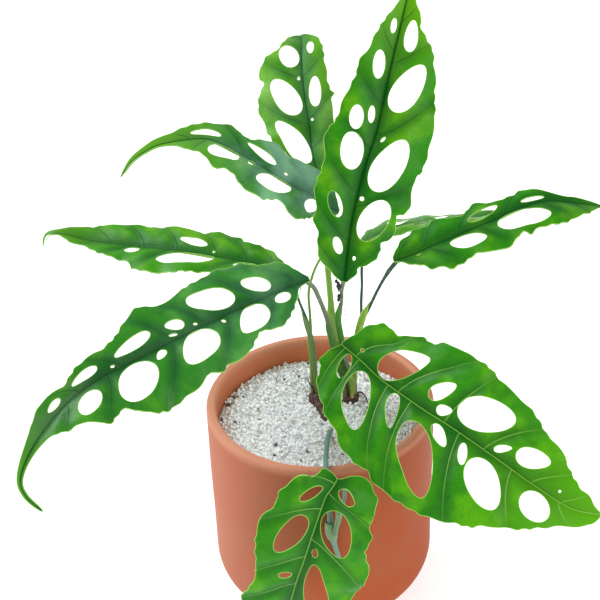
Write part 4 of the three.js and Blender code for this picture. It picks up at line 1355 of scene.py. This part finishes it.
@dataclass
class Blade:
    """A leaf blade with its holes, its pale thin margin and the ribs on its underside."""

    leaf: Leaf
    thickness: float = 0.42
    base: float = 1.3
    margin_step: float = 1.3
    hole_step: float = 1.1
    cell: float = 1.5
    rim: float = 0.42
    tooth: float = 0.38
    tooth_length: float = 6.5
    tooth_drift: Spot = (0.37, 1.8)
    tooth_fade: Spot = (3.0, 8.0)
    rib_radius: float = 0.85
    vein_radius: float = 0.3
    rib_sink: float = 0.75
    rib_taper: float = 0.75
    rib_sides: int = 6
    rib_steps: int = 48
    rib_ends: Spot = (0.5, 3.0)
    vein_steps: int = 7
    vein_end: float = 0.94
    cut_reach: float = 1e-3
    flat_angle: float = 0.002
    rib_lines: tuple[float, ...] = (0.0, 0.45, 0.95, 1.6)

    def margin(self, length: float) -> list[Vector]:
        """Returns the outline of the blade with its fine teeth.

        Args:
            length: The length of the midrib.

        Returns:
            Points in leaf coordinates.
        """
        points = [
            (0.0, -self.base),
            *((along, -out) for along, out in self.leaf.left),
            (length, 0.0),
            *reversed(self.leaf.right),
            (0.0, self.base),
        ]
        line = margin_spline(points, self.margin_step)
        toothed = []
        for i, (before, point, after) in enumerate(zip([line[0], *line], line, [*line[1:], line[-1]])):
            run = after - before
            outward = Vector((-run.y, run.x, 0)).normalized()
            fade = smooth_step(abs(point.y), *self.tooth_fade)
            drift = math.sin(i * self.tooth_drift[0]) * self.tooth_drift[1]
            wave = math.sin(math.tau * i * self.margin_step / self.tooth_length + drift)
            toothed.append(point + outward * (wave * self.tooth * fade))
        return toothed

    def hole(self, shape: Sequence[float]) -> list[Vector]:
        """Returns the outline of a hole in leaf coordinates."""
        along, across, long, wide, degrees, pointed = (*shape, 0.0)[:6]
        count = max(10, round(math.pi * (long + wide) / 2 / self.hole_step))
        turn = Matrix.Rotation(math.radians(degrees), 3, "Z")
        outline = []
        for i in range(count):
            angle = math.tau * i / count
            x = long / 2 * math.cos(angle)
            y = wide / 2 * math.sin(angle) * (1 - pointed * math.cos(angle))
            outline.append(turn @ Vector((x, y, 0)) + Vector((along, across, 0)))
        return outline

    def sheet(self, bm: Mesh, length: float) -> None:
        """Fills the outline between its holes and marks its thin rim, which is bounded by seams.

        Args:
            bm: The mesh that gets the flat sheet, in millimetres.
            length: The length of the midrib.
        """
        edges = []
        holes = (*self.leaf.holes, *self.leaf.pinholes)
        for outline in (self.margin(length), *(self.hole(shape) for shape in holes)):
            verts = [bm.verts.new(point) for point in outline]
            edges += [bm.edges.new(pair) for pair in zip(verts, [*verts[1:], verts[0]])]
        bmesh.ops.triangle_fill(bm, use_beauty=True, use_dissolve=False, edges=edges, normal=(0, 0, -1))
        rim = bm.verts.layers.float.new("rim")
        border = [vert for vert in bm.verts if vert.is_boundary]
        inset = bmesh.ops.inset_region(
            bm, faces=bm.faces[:], thickness=self.rim, use_boundary=True, use_even_offset=True
        )
        for vert in border:
            vert[rim] = 1.0
        ring = set(inset["faces"])
        for edge in bm.edges:
            edge.seam = len(edge.link_faces) == 2 and len(ring.intersection(edge.link_faces)) == 1

    def cut(self, bm: Mesh, length: float) -> None:
        """Cuts the flat sheet into small cells, in rows along the rib.

        Args:
            bm: The mesh with the sheet.
            length: The length of the midrib.
        """
        wide = max(abs(vert.co.y) for vert in bm.verts)
        start = min(vert.co.x for vert in bm.verts)
        rows = list(self.rib_lines)
        while rows[-1] < wide:
            rows.append(rows[-1] + self.cell)
        cuts = [((0, side * row, 0), (0, 1, 0)) for row in rows for side in (1, -1) if row or side > 0]
        count = int((length - start) / self.cell)
        cuts += [((start + (i + 0.5) * self.cell, 0, 0), (1, 0, 0)) for i in range(count)]
        for place, normal in cuts:
            geometry = [*bm.verts, *bm.edges, *bm.faces]
            made = bmesh.ops.bisect_plane(
                bm, geom=geometry, dist=self.cut_reach, plane_co=place, plane_no=normal
            )
            for edge in only(made["geom_cut"], bmesh.types.BMEdge):
                edge.seam = True
        bmesh.ops.dissolve_limit(
            bm, angle_limit=self.flat_angle, use_dissolve_boundaries=False, verts=bm.verts, edges=bm.edges,
            delimit={"SEAM"},
        )
        for edge in bm.edges:
            edge.seam = False
        bmesh.ops.reverse_faces(bm, faces=[face for face in bm.faces if face.normal.z > 0])

    def thicken(self, bm: Mesh) -> None:
        """Makes the flat sheet a closed plate whose underside lies at height 1."""
        geometry = [*bm.verts, *bm.edges, *bm.faces]
        made = bmesh.ops.extrude_face_region(bm, geom=geometry, use_keep_orig=True)["geom"]
        for vert in only(made, bmesh.types.BMVert):
            vert.co.z = 1.0
        for face in bm.faces:
            face.material_index = int(any(vert.co.z > 0 for vert in face.verts))

    def dress(self, bm: Mesh, surface: LeafSurface) -> None:
        """Writes the leaf coordinates and the distance from the side veins on the faces' corners."""
        flat = bm.loops.layers.uv.new("leaf")
        veins = bm.loops.layers.uv.new("veins")
        for face in bm.faces:
            middle = face.calc_center_median()
            _, vein = surface.nearest_vein(middle.x, middle.y)
            for corner in face.loops:
                spot = corner.vert.co
                corner[flat].uv = (spot.x, spot.y)
                distance = surface.from_vein(vein, spot.x, spot.y)
                corner[veins].uv = (distance, abs(spot.y) / surface.width_at(spot.x, middle.y))

    def ribs(self, bm: Mesh, surface: LeafSurface) -> None:
        """Adds the midrib and the side veins that stand out on the underside."""
        first, rest = self.rib_ends
        rib = steps(self.rib_steps, first, surface.length - rest)
        lines = [([(along, 0.0) for along in rib], self.rib_radius)]
        shares = steps(self.vein_steps, 0.0, self.vein_end)
        for side, veins in ((-1, self.leaf.veins_left), (1, self.leaf.veins_right)):
            for start, end, width in veins:
                bent = [(start + (end - start) * s**surface.VEIN_BEND, side * width * s) for s in shares]
                lines.append((bent, self.vein_radius))
        for spots, radius in lines:
            sunk = -self.thickness / 2 - self.rib_sink * radius
            places = [surface.point(along, across, sunk) for along, across in spots]
            frames = []
            for i, place in enumerate(places):
                forward = places[min(i + 1, len(places) - 1)] - places[max(i - 1, 0)]
                up = surface.frame_at(spots[i][0])[3]
                size = radius * MM * (1 - self.rib_taper * i / len(places))
                frames.append(across_frame(place, forward, up, size, size))
            for face in faces_at(loft(bm, frames, self.rib_sides)):
                face.material_index = 1

    def build(self, under: bpy.types.Material) -> None:
        """Makes the blade, whose underside has the material under."""
        surface = LeafSurface(self.leaf)
        piece = Piece(f"leaf_{self.leaf.name}")
        bm = piece.bm
        self.sheet(bm, surface.length)
        self.cut(bm, surface.length)
        self.dress(bm, surface)
        self.thicken(bm)
        for vert in bm.verts:
            vert.co = surface.point(vert.co.x, vert.co.y, self.thickness * (0.5 - vert.co.z))
        bmesh.ops.recalc_face_normals(bm, faces=bm.faces)
        self.ribs(bm, surface)
        soften(bm)
        piece.finish("blade", [f"blade_{self.leaf.name}"], self.leaf.look.value.material(), under)


@dataclass
class Stalk:
    """A leaf stalk: clasping at its foot, slim above, with a knee under the blade and a sheath.

    A span is two shares of the length. Wrinkles and sways are (how closely they follow, how high).
    """

    leaf: Leaf
    sides: int = 12
    rings: int = 44
    foot: float = 1.15
    slim: float = 0.8
    knee: float = 1.15
    foot_span: Spot = (0.05, 0.5)
    knee_span: Spot = (0.87, 0.93)
    neck_span: Spot = (0.97, 1.0)
    neck: float = 0.35
    wrinkled: Spot = (0.88, 0.92)
    wrinkles: Spot = (420, 0.04)
    sways: Spot = (31, 0.03)
    join: Point = (1.5, 0.0, -0.7)
    sheath_slim: float = 1.2
    sheath_flat: float = 0.92
    sheath_lean: Point = (-1, -0.5, 0)
    sheath_rings: int = 28
    sheath_kept: int = 15
    sheath_start: float = 0.02
    sheath_widening: Spot = (0.1, 0.7)
    sheath_narrowing: Spot = (0.8, 1.0)
    sheath_parting: Spot = (0.55, 0.95)
    sheath_gap: float = 0.25
    sheath_snug: float = 0.6
    point_share: float = 0.93
    point_power: float = 1.5

    def radius(self, share: float) -> float:
        """Returns the stalk's radius at a share of its length."""
        low = blend(self.foot, self.slim * self.leaf.girth, smooth_step(share, *self.foot_span))
        knee = smooth_step(share, *self.knee_span) * (1 - self.neck * smooth_step(share, *self.neck_span))
        wrinkle = self.wrinkles[1] * math.sin(share * self.wrinkles[0]) * smooth_step(share, *self.wrinkled)
        sway = self.sways[1] * math.sin(share * self.sways[0])
        return blend(low, max(low, self.knee), knee) + wrinkle + sway

    def build(self) -> None:
        """Makes the stalk with its sheath."""
        piece = Piece(f"stalk_{self.leaf.name}_skin")
        bm = piece.bm
        top = LeafSurface(self.leaf).point(*self.join) / MM
        path = Path([*self.leaf.stalk, top])
        layer = bm.verts.layers.float.new("share")
        shares = steps(self.rings)
        mark(loft(bm, tube_frames(path, shares, self.radius, Vector((0, -1, 0))), self.sides), layer, shares)
        self.sheath(bm, path, layer)
        soften(bm)
        looks = (self.leaf.stalk_look, self.leaf.sheath_look)
        piece.finish("stalk", [f"stalk_{self.leaf.name}"], *(look.value.material() for look in looks))

    def sheath(self, bm: Mesh, path: Path, layer: Layer) -> None:
        """Adds the open sheath that clasps the stalk and ends in a free pointed tip.

        Args:
            bm: The stalk's mesh.
            path: The stalk's middle line.
            layer: The layer that holds the share of the length.
        """
        end, width = self.leaf.sheath_end, self.leaf.sheath_width
        lean = Vector(self.sheath_lean).normalized()
        shares = steps(self.sheath_rings, self.sheath_start, end)
        frames = []
        for share in shares:
            part = share / end
            wide = blend(self.sheath_slim, width, smooth_step(part, *self.sheath_widening))
            wide *= 1 - self.point_share * smooth_step(part, *self.sheath_narrowing) ** self.point_power
            off = self.sheath_gap + (width - self.sheath_snug) * smooth_step(part, *self.sheath_parting)
            place = path.at(share) + lean * off
            frame = across_frame(place, path.direction(share), -lean, wide, wide * self.sheath_flat)
            frames.append(TO_METRES @ frame)
        open_sleeve(bm, frames, self.sheath_kept, layer, shares)


@dataclass
class Pot:
    """A round terracotta pot: straight wall, rounded shoulder, small foot and rounded lip.

    Sways of the wall are (how closely they follow, how high).
    """

    height: float = 118.0
    radius: float = 57.5
    wall: float = 5.0
    lip: float = 2.0
    foot_radius: float = 42.0
    foot_height: float = 6.5
    shoulder: float = 20.0
    floor: float = 9.0
    segments: int = 128
    wall_steps: int = 14
    sways: tuple[Spot, ...] = ((30, 0.25), (90, 0.06))

    def profile(self) -> list[Spot]:
        """Returns the pot's section as (radius, height), from the underside round to the inner floor."""

        def arc(x: float, z: float, size: float, start: float, end: float, count: int) -> list[Spot]:
            """Returns count + 1 points of an arc, with angles in degrees."""
            angles = [math.radians(angle) for angle in steps(count, start, end)]
            return [(x + size * math.cos(angle), z + size * math.sin(angle)) for angle in angles]

        inner = self.radius - self.wall
        low, high = self.foot_height + self.shoulder, self.height - self.lip
        hollow = low - self.floor
        return [
            (0.0, 0.0),
            *((self.foot_radius * share, 0.0) for share in (0.35, 0.7)),
            *arc(self.foot_radius - 1, 1, 1, -90, 0, 3),
            (self.foot_radius, self.foot_height - 0.8),
            (self.foot_radius + 0.35, self.foot_height - 0.2),
            *arc(self.radius - self.shoulder, low, self.shoulder, -68, 0, 14),
            *((self.radius, height) for height in steps(self.wall_steps, low, high)[1:-1]),
            *arc(self.radius - self.lip, high, self.lip, 0, 90, 6),
            *arc(inner + self.lip, high, self.lip, 90, 180, 6),
            *((inner, height) for height in steps(self.wall_steps, high, low)[1:-1]),
            *arc(inner - hollow, low, hollow, 0, -90, 8),
            (0.0, self.floor),
        ]

    def build(self) -> None:
        """Makes the pot, whose wall above the foot sways a little."""
        piece = Piece("terracotta_pot")
        lathe(piece.bm, self.profile(), self.segments)
        for vert in piece.bm.verts:
            sway = sum(noise.noise(vert.co * scale) * size for scale, size in self.sways)
            outward = Vector((vert.co.x, vert.co.y, 0))
            if outward.length > 0 and vert.co.z > self.foot_height * MM:
                vert.co += outward.normalized() * (sway * MM)
        soften(piece.bm)
        piece.finish("terracotta", ["pot"], TerracottaFinish().material())


@dataclass
class GranuleBed:
    """The layer of white granules: a lumpy bed and loose stones on it, with dark crumbs at three places."""

    radius: float = 52.1
    top: float = 106.5
    bottom: float = 98.3
    relief: float = 0.54
    edge_dip: float = 2.0
    rings: int = 30
    segments: int = 96
    bed_tint: float = 0.75
    spacing: float = 1.95
    row_pitch: float = 0.87
    small: float = 0.75
    large: float = 1.35
    size_bias: float = 1.6
    size_range: Spot = (0.72, 1.15)
    wide_range: Spot = (0.7, 1.0)
    thick_range: Spot = (0.6, 0.9)
    lift_range: Spot = (-0.3, 0.5)
    sink: float = 0.7
    upper_rise: float = 0.9
    upper_share: float = 0.62
    patterns: int = 7
    chunk: int = 160
    crumbs: tuple[Spot, ...] = ((-44.3, 20.3), (-50.2, 1), (-47.1, 12.7))
    crumb_reach: float = 2.6

    def height_at(self, x: float, y: float) -> float:
        """Returns the height of the bed at a place."""
        lump = math.sin(0.71 * x + 2.1) * math.sin(0.83 * y - 0.6) + 0.5 * math.sin(1.7 * x - 1.3 * y)
        dip = self.edge_dip * smooth_step(math.hypot(x, y), self.radius - 6, self.radius)
        return self.top + lump * self.relief - dip

    def bed(self, material: bpy.types.Material) -> None:
        """Makes the bed under the loose stones."""
        piece = Piece("granule_bed")
        bm = piece.bm
        section = [(radius, self.top) for radius in steps(self.rings, 0.0, self.radius)]
        section += [(self.radius, self.bottom), (self.radius / 2, self.bottom), (0.0, self.bottom)]
        lathe(bm, section, self.segments)
        tint = bm.verts.layers.float.new("tint")
        for vert in bm.verts:
            vert[tint] = self.bed_tint
            if vert.co.z > (self.bottom + 1) * MM:
                vert.co.z = (self.height_at(vert.co.x / MM, vert.co.y / MM) - 1.0) * MM
        soften(bm)
        piece.finish("granules", ["granules"], material)

    def places(self, draw: random.Random) -> list[Stone]:
        """Returns the middle, radius and tint of every stone.

        Args:
            draw: The seeded source of chance.

        Returns:
            The stones, from the lower layer to the upper one.
        """
        stones = []
        pitch = self.spacing * self.row_pitch
        count = int(self.radius / pitch) + 1
        spots = [(row, column) for row in range(-count, count + 1) for column in range(-count, count + 1)]
        for layer in (0, 1):
            for row, column in spots:
                x = (column + (row % 2) * 0.5 + layer * 0.5 + draw.uniform(-0.5, 0.5)) * self.spacing
                y = (row + layer * 0.4) * pitch + draw.uniform(-0.5, 0.5) * self.spacing
                size = blend(self.small, self.large, draw.random() ** self.size_bias)
                near = min(math.dist((x, y), spot) for spot in self.crumbs)
                tint = 1.0 if near < self.crumb_reach * draw.random() else draw.random()
                lift = draw.uniform(*self.lift_range)
                if math.hypot(x, y) < self.radius - size * 0.8:
                    if layer == 0 or draw.random() < self.upper_share:
                        height = self.height_at(x, y) - self.sink + layer * self.upper_rise + lift
                        stones.append((Vector((x, y, height)), size, tint))
        return stones

    def shapes(self, draw: random.Random) -> list[bpy.types.Mesh]:
        """Returns a few angular stones of radius 1."""
        shapes = []
        for _ in range(self.patterns):
            bm = bmesh.new()
            bmesh.ops.create_icosphere(bm, subdivisions=1, radius=1.0)
            for vert in bm.verts:
                vert.co *= draw.uniform(*self.size_range)
            bm.verts.layers.float.new("tint")
            shapes.append(bpy.data.meshes.new("stone_pattern"))
            bm.to_mesh(shapes[-1])
            bm.free()
        return shapes

    def stones(
        self,
        name: str,
        chosen: Sequence[Stone],
        shapes: Sequence[bpy.types.Mesh],
        draw: random.Random,
        material: bpy.types.Material,
    ) -> None:
        """Makes one piece of loose stones.

        Args:
            name: The piece's name.
            chosen: The middle, radius and tint of each stone.
            shapes: The patterns that are copied.
            draw: The seeded source of chance.
            material: The stones' material.
        """
        piece = Piece(name)
        for start in range(0, len(chosen), self.chunk):
            part = bmesh.new()
            group = chosen[start : start + self.chunk]
            for _ in group:
                part.from_mesh(draw.choice(shapes))
            part.verts.ensure_lookup_table()
            layer = part.verts.layers.float["tint"]
            corners = len(part.verts) // len(group)
            for i, (middle, size, tint) in enumerate(group):
                angle = draw.uniform(0, math.tau)
                turn = Matrix.Rotation(angle, 3, Vector((draw.gauss(0, 1), draw.gauss(0, 1), 1)))
                squash = Vector((1.0, draw.uniform(*self.wide_range), draw.uniform(*self.thick_range)))
                for vert in part.verts[i * corners : (i + 1) * corners]:
                    vert.co = (middle + turn @ (vert.co * squash) * size) * MM
                    vert[layer] = tint
            mesh = bpy.data.meshes.new("stones_part")
            part.to_mesh(mesh)
            part.free()
            piece.bm.from_mesh(mesh)
            bpy.data.meshes.remove(mesh)
        piece.finish("granules", [], material)

    def build(self) -> None:
        """Makes the bed and its loose stones."""
        draw = random.Random(SEED)
        material = GranuleFinish().material()
        self.bed(material)
        shapes = self.shapes(draw)
        stones = self.places(draw)
        half = len(stones) // 2
        for name, chosen in (("granules_lower", stones[:half]), ("granules_upper", stones[half:])):
            self.stones(name, chosen, shapes, draw, material)
        for shape in shapes:
            bpy.data.meshes.remove(shape)


@dataclass
class Rootstock:
    """The short creeping stem that bears the stalks, with its thin roots.

    Lumps and ridges are (how closely they follow, how high).
    """

    path: tuple[Point, ...] = (
        (16, 14, 110.5), (16, 14.2, 104), (12, 16.5, 98.5), (5, 19, 98), (-1.5, 19.5, 101.5),
        (-2.4, 16.5, 105.6), (0, 8, 106.6), (3, 0, 106), (5, -5, 102.5),
    )
    radii: tuple[float, ...] = (4.1, 4.3, 3.2, 3, 3.4, 3.9, 2.7, 2.6, 2.3)
    toward: Point = (0.3, -1, 0.2)
    rings: int = 110
    sides: int = 24
    lumps: Spot = (320, 0.5)
    ridges: tuple[Spot, ...] = ((60, 0.22), (173, 0.12))
    closing: float = 0.05
    roots: tuple[tuple[Point, ...], ...] = (
        ((-2.4, 15.4, 109.5), (-3.2, 15, 112.5), (-4.4, 15, 115), (-5.8, 15, 118)),
        ((18, 15, 106.5), (21, 15.6, 109.2), (23.6, 12.4, 108.8), (24.6, 9, 107.2)),
    )
    root_radii: Spot = (0.55, 0.3)

    def radius(self, share: float) -> float:
        """Returns the ringed radius at a share of the length."""
        count = len(self.radii) - 1
        low = min(int(share * count), count - 1)
        size = blend(self.radii[low], self.radii[low + 1], share * count - low)
        closing = math.sqrt(max(0.02, 1 - max(0.0, 1 - share / self.closing) ** 2))
        return (size + sum(high * math.sin(share * often) for often, high in self.ridges)) * closing

    def build(self) -> None:
        """Makes the rootstock."""
        piece = Piece("rootstock_body")
        bm = piece.bm
        frames = tube_frames(Path(self.path), steps(self.rings), self.radius, Vector(self.toward))
        loft(bm, frames, self.sides)
        for vert in bm.verts:
            vert.co += vert.co.normalized() * (noise.noise(vert.co * self.lumps[0]) * self.lumps[1] * MM)
        for root in self.roots:
            frames = tube_frames(
                Path(root), steps(20), lambda share: blend(*self.root_radii, share), Vector((0, 0, 1))
            )
            loft(bm, frames, 8)
        soften(bm)
        piece.finish("bark", ["rootstock"], BarkFinish().material())


@dataclass
class DriedScales:
    """Small dark dried beads on a thin string, and one loose thread, on the upright leaf's stalk.

    A bead is (x, y, z, radius), and lumps are (how closely they follow, how high).
    """

    beads: tuple[tuple[float, ...], ...] = (
        (9.4, -6.2, 190.4, 0.6), (10.3, -5.4, 188.6, 0.7), (10.5, -5, 186.8, 0.95), (10.5, -4.2, 184.3, 0.5),
        (10.6, -2.8, 179.8, 0.85), (10.4, -2, 177.4, 0.6),
    )
    threads: tuple[tuple[Point, ...], ...] = (
        (
            (9.5, -7.2, 193.9), (9.5, -6.3, 190.6), (10.4, -5, 186.8), (10.6, -3.6, 182.2),
            (10.5, -2.8, 179.5), (10.3, -1.6, 175.9),
        ),
        ((12.8, 7, 166.3), (13.7, 7, 164.2), (14.1, 7, 161.6), (13.8, 7, 158.6)),
    )
    fat: float = 1.35
    squash: Point = (0.9, 0.8, 1.2)
    lumps: Spot = (900, 0.3)
    thread_radius: float = 0.17

    def build(self) -> None:
        """Makes the beads and the threads."""
        piece = Piece("dried_scales")
        bm = piece.bm
        for x, y, z, size in self.beads:
            place = Matrix.Translation(Vector((x, y, z)) * MM) @ Matrix.Diagonal((*self.squash, 1.0))
            radius = size * self.fat * MM
            made = bmesh.ops.create_icosphere(bm, subdivisions=2, radius=radius, matrix=place)
            for vert in made["verts"]:
                vert.co.x += noise.noise(vert.co * self.lumps[0]) * self.lumps[1] * MM
        for thread in self.threads:
            frames = tube_frames(Path(thread), steps(16), lambda _: self.thread_radius, Vector((1, 0, 0.1)))
            loft(bm, frames, 6)
        soften(bm)
        finish = BarkFinish(
            "dried_scale", skin=tone(58, 62, 54), old=tone(24, 28, 26), papery=tone(96, 100, 88)
        )
        piece.finish("bark", [], finish.material())


@dataclass
class Runner:
    """The bluish stem over the rim, with a swollen joint in a short sheath, and a growing tip.

    A swelling is (share of the length, spread, height).
    """

    path: tuple[Point, ...] = (
        (5.6, -8, 102), (5, -13, 106.5), (3.4, -24, 110.5), (2.4, -40, 115.4), (2, -51, 119.6),
        (2, -57.5, 120.2), (2.2, -60.6, 116), (2.6, -60.8, 106), (3, -61, 96), (3.8, -61.2, 84),
        (5, -61, 76), (7, -60.4, 66), (8.4, -60, 57),
    )
    size: float = 1.25
    swellings: tuple[Point, ...] = ((0.77, 0.045, 1.5), (0.805, 0.004, 0.35), (0.36, 0.006, 0.25))
    rings: int = 130
    sides: int = 16
    sheath: Spot = (0.715, 0.8)
    sheath_kept: int = 16
    sheath_toward: Point = (0.4, 1, 0)
    sheath_share: float = 0.3
    sheath_gap: float = 0.35
    sheath_flare: float = 0.5
    tip: float = 0.09
    tip_power: float = 0.6

    def radius(self, share: float) -> float:
        """Returns the runner's radius at a share of its length."""
        swell = sum(height * hump(share, middle, spread) for middle, spread, height in self.swellings)
        return (self.size + swell) * min(1.0, (1.01 - share) / self.tip) ** self.tip_power

    def sheath_radius(self, share: float) -> float:
        """Returns the radius of the sheath, which opens towards its lower end."""
        flare = self.sheath_flare * smooth_step(self.swellings[0][0] - share, -0.01, 0.05)
        return self.radius(share) + self.sheath_gap + flare

    def build(self) -> None:
        """Makes the runner with the sheath at its joint."""
        piece = Piece("runner_stem")
        bm = piece.bm
        layer = bm.verts.layers.float.new("share")
        path = Path(self.path)
        shares = steps(self.rings)
        mark(loft(bm, tube_frames(path, shares, self.radius, Vector((1, 0, 0.1))), self.sides), layer, shares)
        frames = tube_frames(path, steps(14, *self.sheath), self.sheath_radius, Vector(self.sheath_toward))
        open_sleeve(bm, frames, self.sheath_kept, layer, [self.sheath_share] * len(frames))
        soften(bm)
        looks = (StalkLook.RUNNER, StalkLook.RUNNER_SHEATH)
        piece.finish("stem", ["runner"], *(look.value.material() for look in looks))


@dataclass(frozen=True)
class Lamp:
    """One soft square light, in metres and watts."""

    name: str
    place: Point
    size: float
    power: float
    color: Point
    target: Point = (0.0, 0.0, 0.15)

    def build(self) -> None:
        """Adds the light to the scene."""
        data = bpy.data.lights.new(self.name, "AREA")
        data.size = self.size
        data.energy = self.power
        data.color = self.color
        lamp = link(self.name, data)
        lamp.location = self.place
        lamp.rotation_mode = "QUATERNION"
        lamp.rotation_quaternion = (Vector(self.target) - lamp.location).to_track_quat("-Z", "Y")


@dataclass
class Studio:
    """The camera at the photograph's angle, a plain pale floor and soft light."""

    place: Point = (0.0, -506.5, 497.9)
    yaw: float = -0.91
    pitch: float = 32.38
    roll: float = -2.17
    lens: float = 75.0
    sensor: float = 36.0
    nearest: float = 0.01
    floor_size: float = 6.0
    sky: float = 0.58
    sky_color: Color = (0.97, 0.985, 1.0, 1.0)
    lamps: tuple[Lamp, ...] = (
        Lamp("window", (-1.1, 0.6, 1.3), 1.1, 30.0, (0.93, 0.97, 1.0)),
        Lamp("front_fill", (0.9, -1.3, 1.1), 1.4, 21.0, (1.0, 0.98, 0.95)),
    )

    def camera(self) -> None:
        """Makes the camera and gives it to the scene."""
        yaw, pitch, roll = (math.radians(angle) for angle in (self.yaw, self.pitch, self.roll))
        forward = Vector((math.sin(yaw) * math.cos(pitch), math.cos(yaw) * math.cos(pitch), -math.sin(pitch)))
        right = forward.cross(Vector((0, 0, 1))).normalized()
        up = right.cross(forward)
        tilted_right = right * math.cos(roll) + up * math.sin(roll)
        tilted_up = up * math.cos(roll) - right * math.sin(roll)
        turn = Matrix((tilted_right, tilted_up, -forward)).transposed().to_4x4()
        data = bpy.data.cameras.new("view")
        data.lens = self.lens
        data.sensor_width = self.sensor
        data.clip_start = self.nearest
        camera = link("view", data)
        camera.matrix_world = Matrix.Translation(Vector(self.place) * MM) @ turn
        bpy.context.scene.camera = camera

    def floor(self) -> None:
        """Makes the floor, which isn't part of the plant."""
        bm = bmesh.new()
        bmesh.ops.create_grid(bm, x_segments=4, y_segments=4, size=self.floor_size)
        mesh = bpy.data.meshes.new("studio_floor")
        bm.to_mesh(mesh)
        bm.free()
        mesh.materials.append(FloorFinish().material())
        floor = link("studio_floor", mesh)
        floor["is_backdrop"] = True

    def world(self) -> None:
        """Makes the world, which is white to the camera and dimmer as a light."""
        world = bpy.data.worlds.new("studio_world")
        shader = Shader.of_world(world)
        shader.surface.inputs["Color"].default_value = self.sky_color
        seen = Signal(shader, shader.add("ShaderNodeLightPath", {}, {}).outputs["Is Camera Ray"])
        shader.feed("Strength", self.sky + seen * (1 - self.sky))
        bpy.context.scene.world = world

    def build(self) -> None:
        """Sets the whole studio."""
        self.camera()
        self.floor()
        for lamp in self.lamps:
            lamp.build()
        self.world()
        bpy.context.scene.view_settings.view_transform = "Standard"


def finish_soil(node: bpy.types.Object) -> None:
    """Gives the packed soil solid its material."""
    for slot in node.material_slots:
        slot.material = SoilFinish().material()


def corners() -> list[list[float]]:
    """Returns the shown object's lowest and highest corner as plain lists."""
    return [list(corner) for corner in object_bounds()]


def main() -> None:
    """Builds the plant in its pot, piece by piece, and the studio round it."""
    logging.basicConfig(level=logging.INFO, format="%(name)s %(message)s")
    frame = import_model()
    Studio().build()
    Pot().build()
    finish_soil(frame["nodes"]["soil"])
    GranuleBed().build()
    Rootstock().build()
    DriedScales().build()
    Runner().build()
    under = UndersideFinish().material()
    for leaf in LEAVES:
        Stalk(leaf).build()
        Blade(leaf).build(under)


if __name__ == "__main__":
    main()
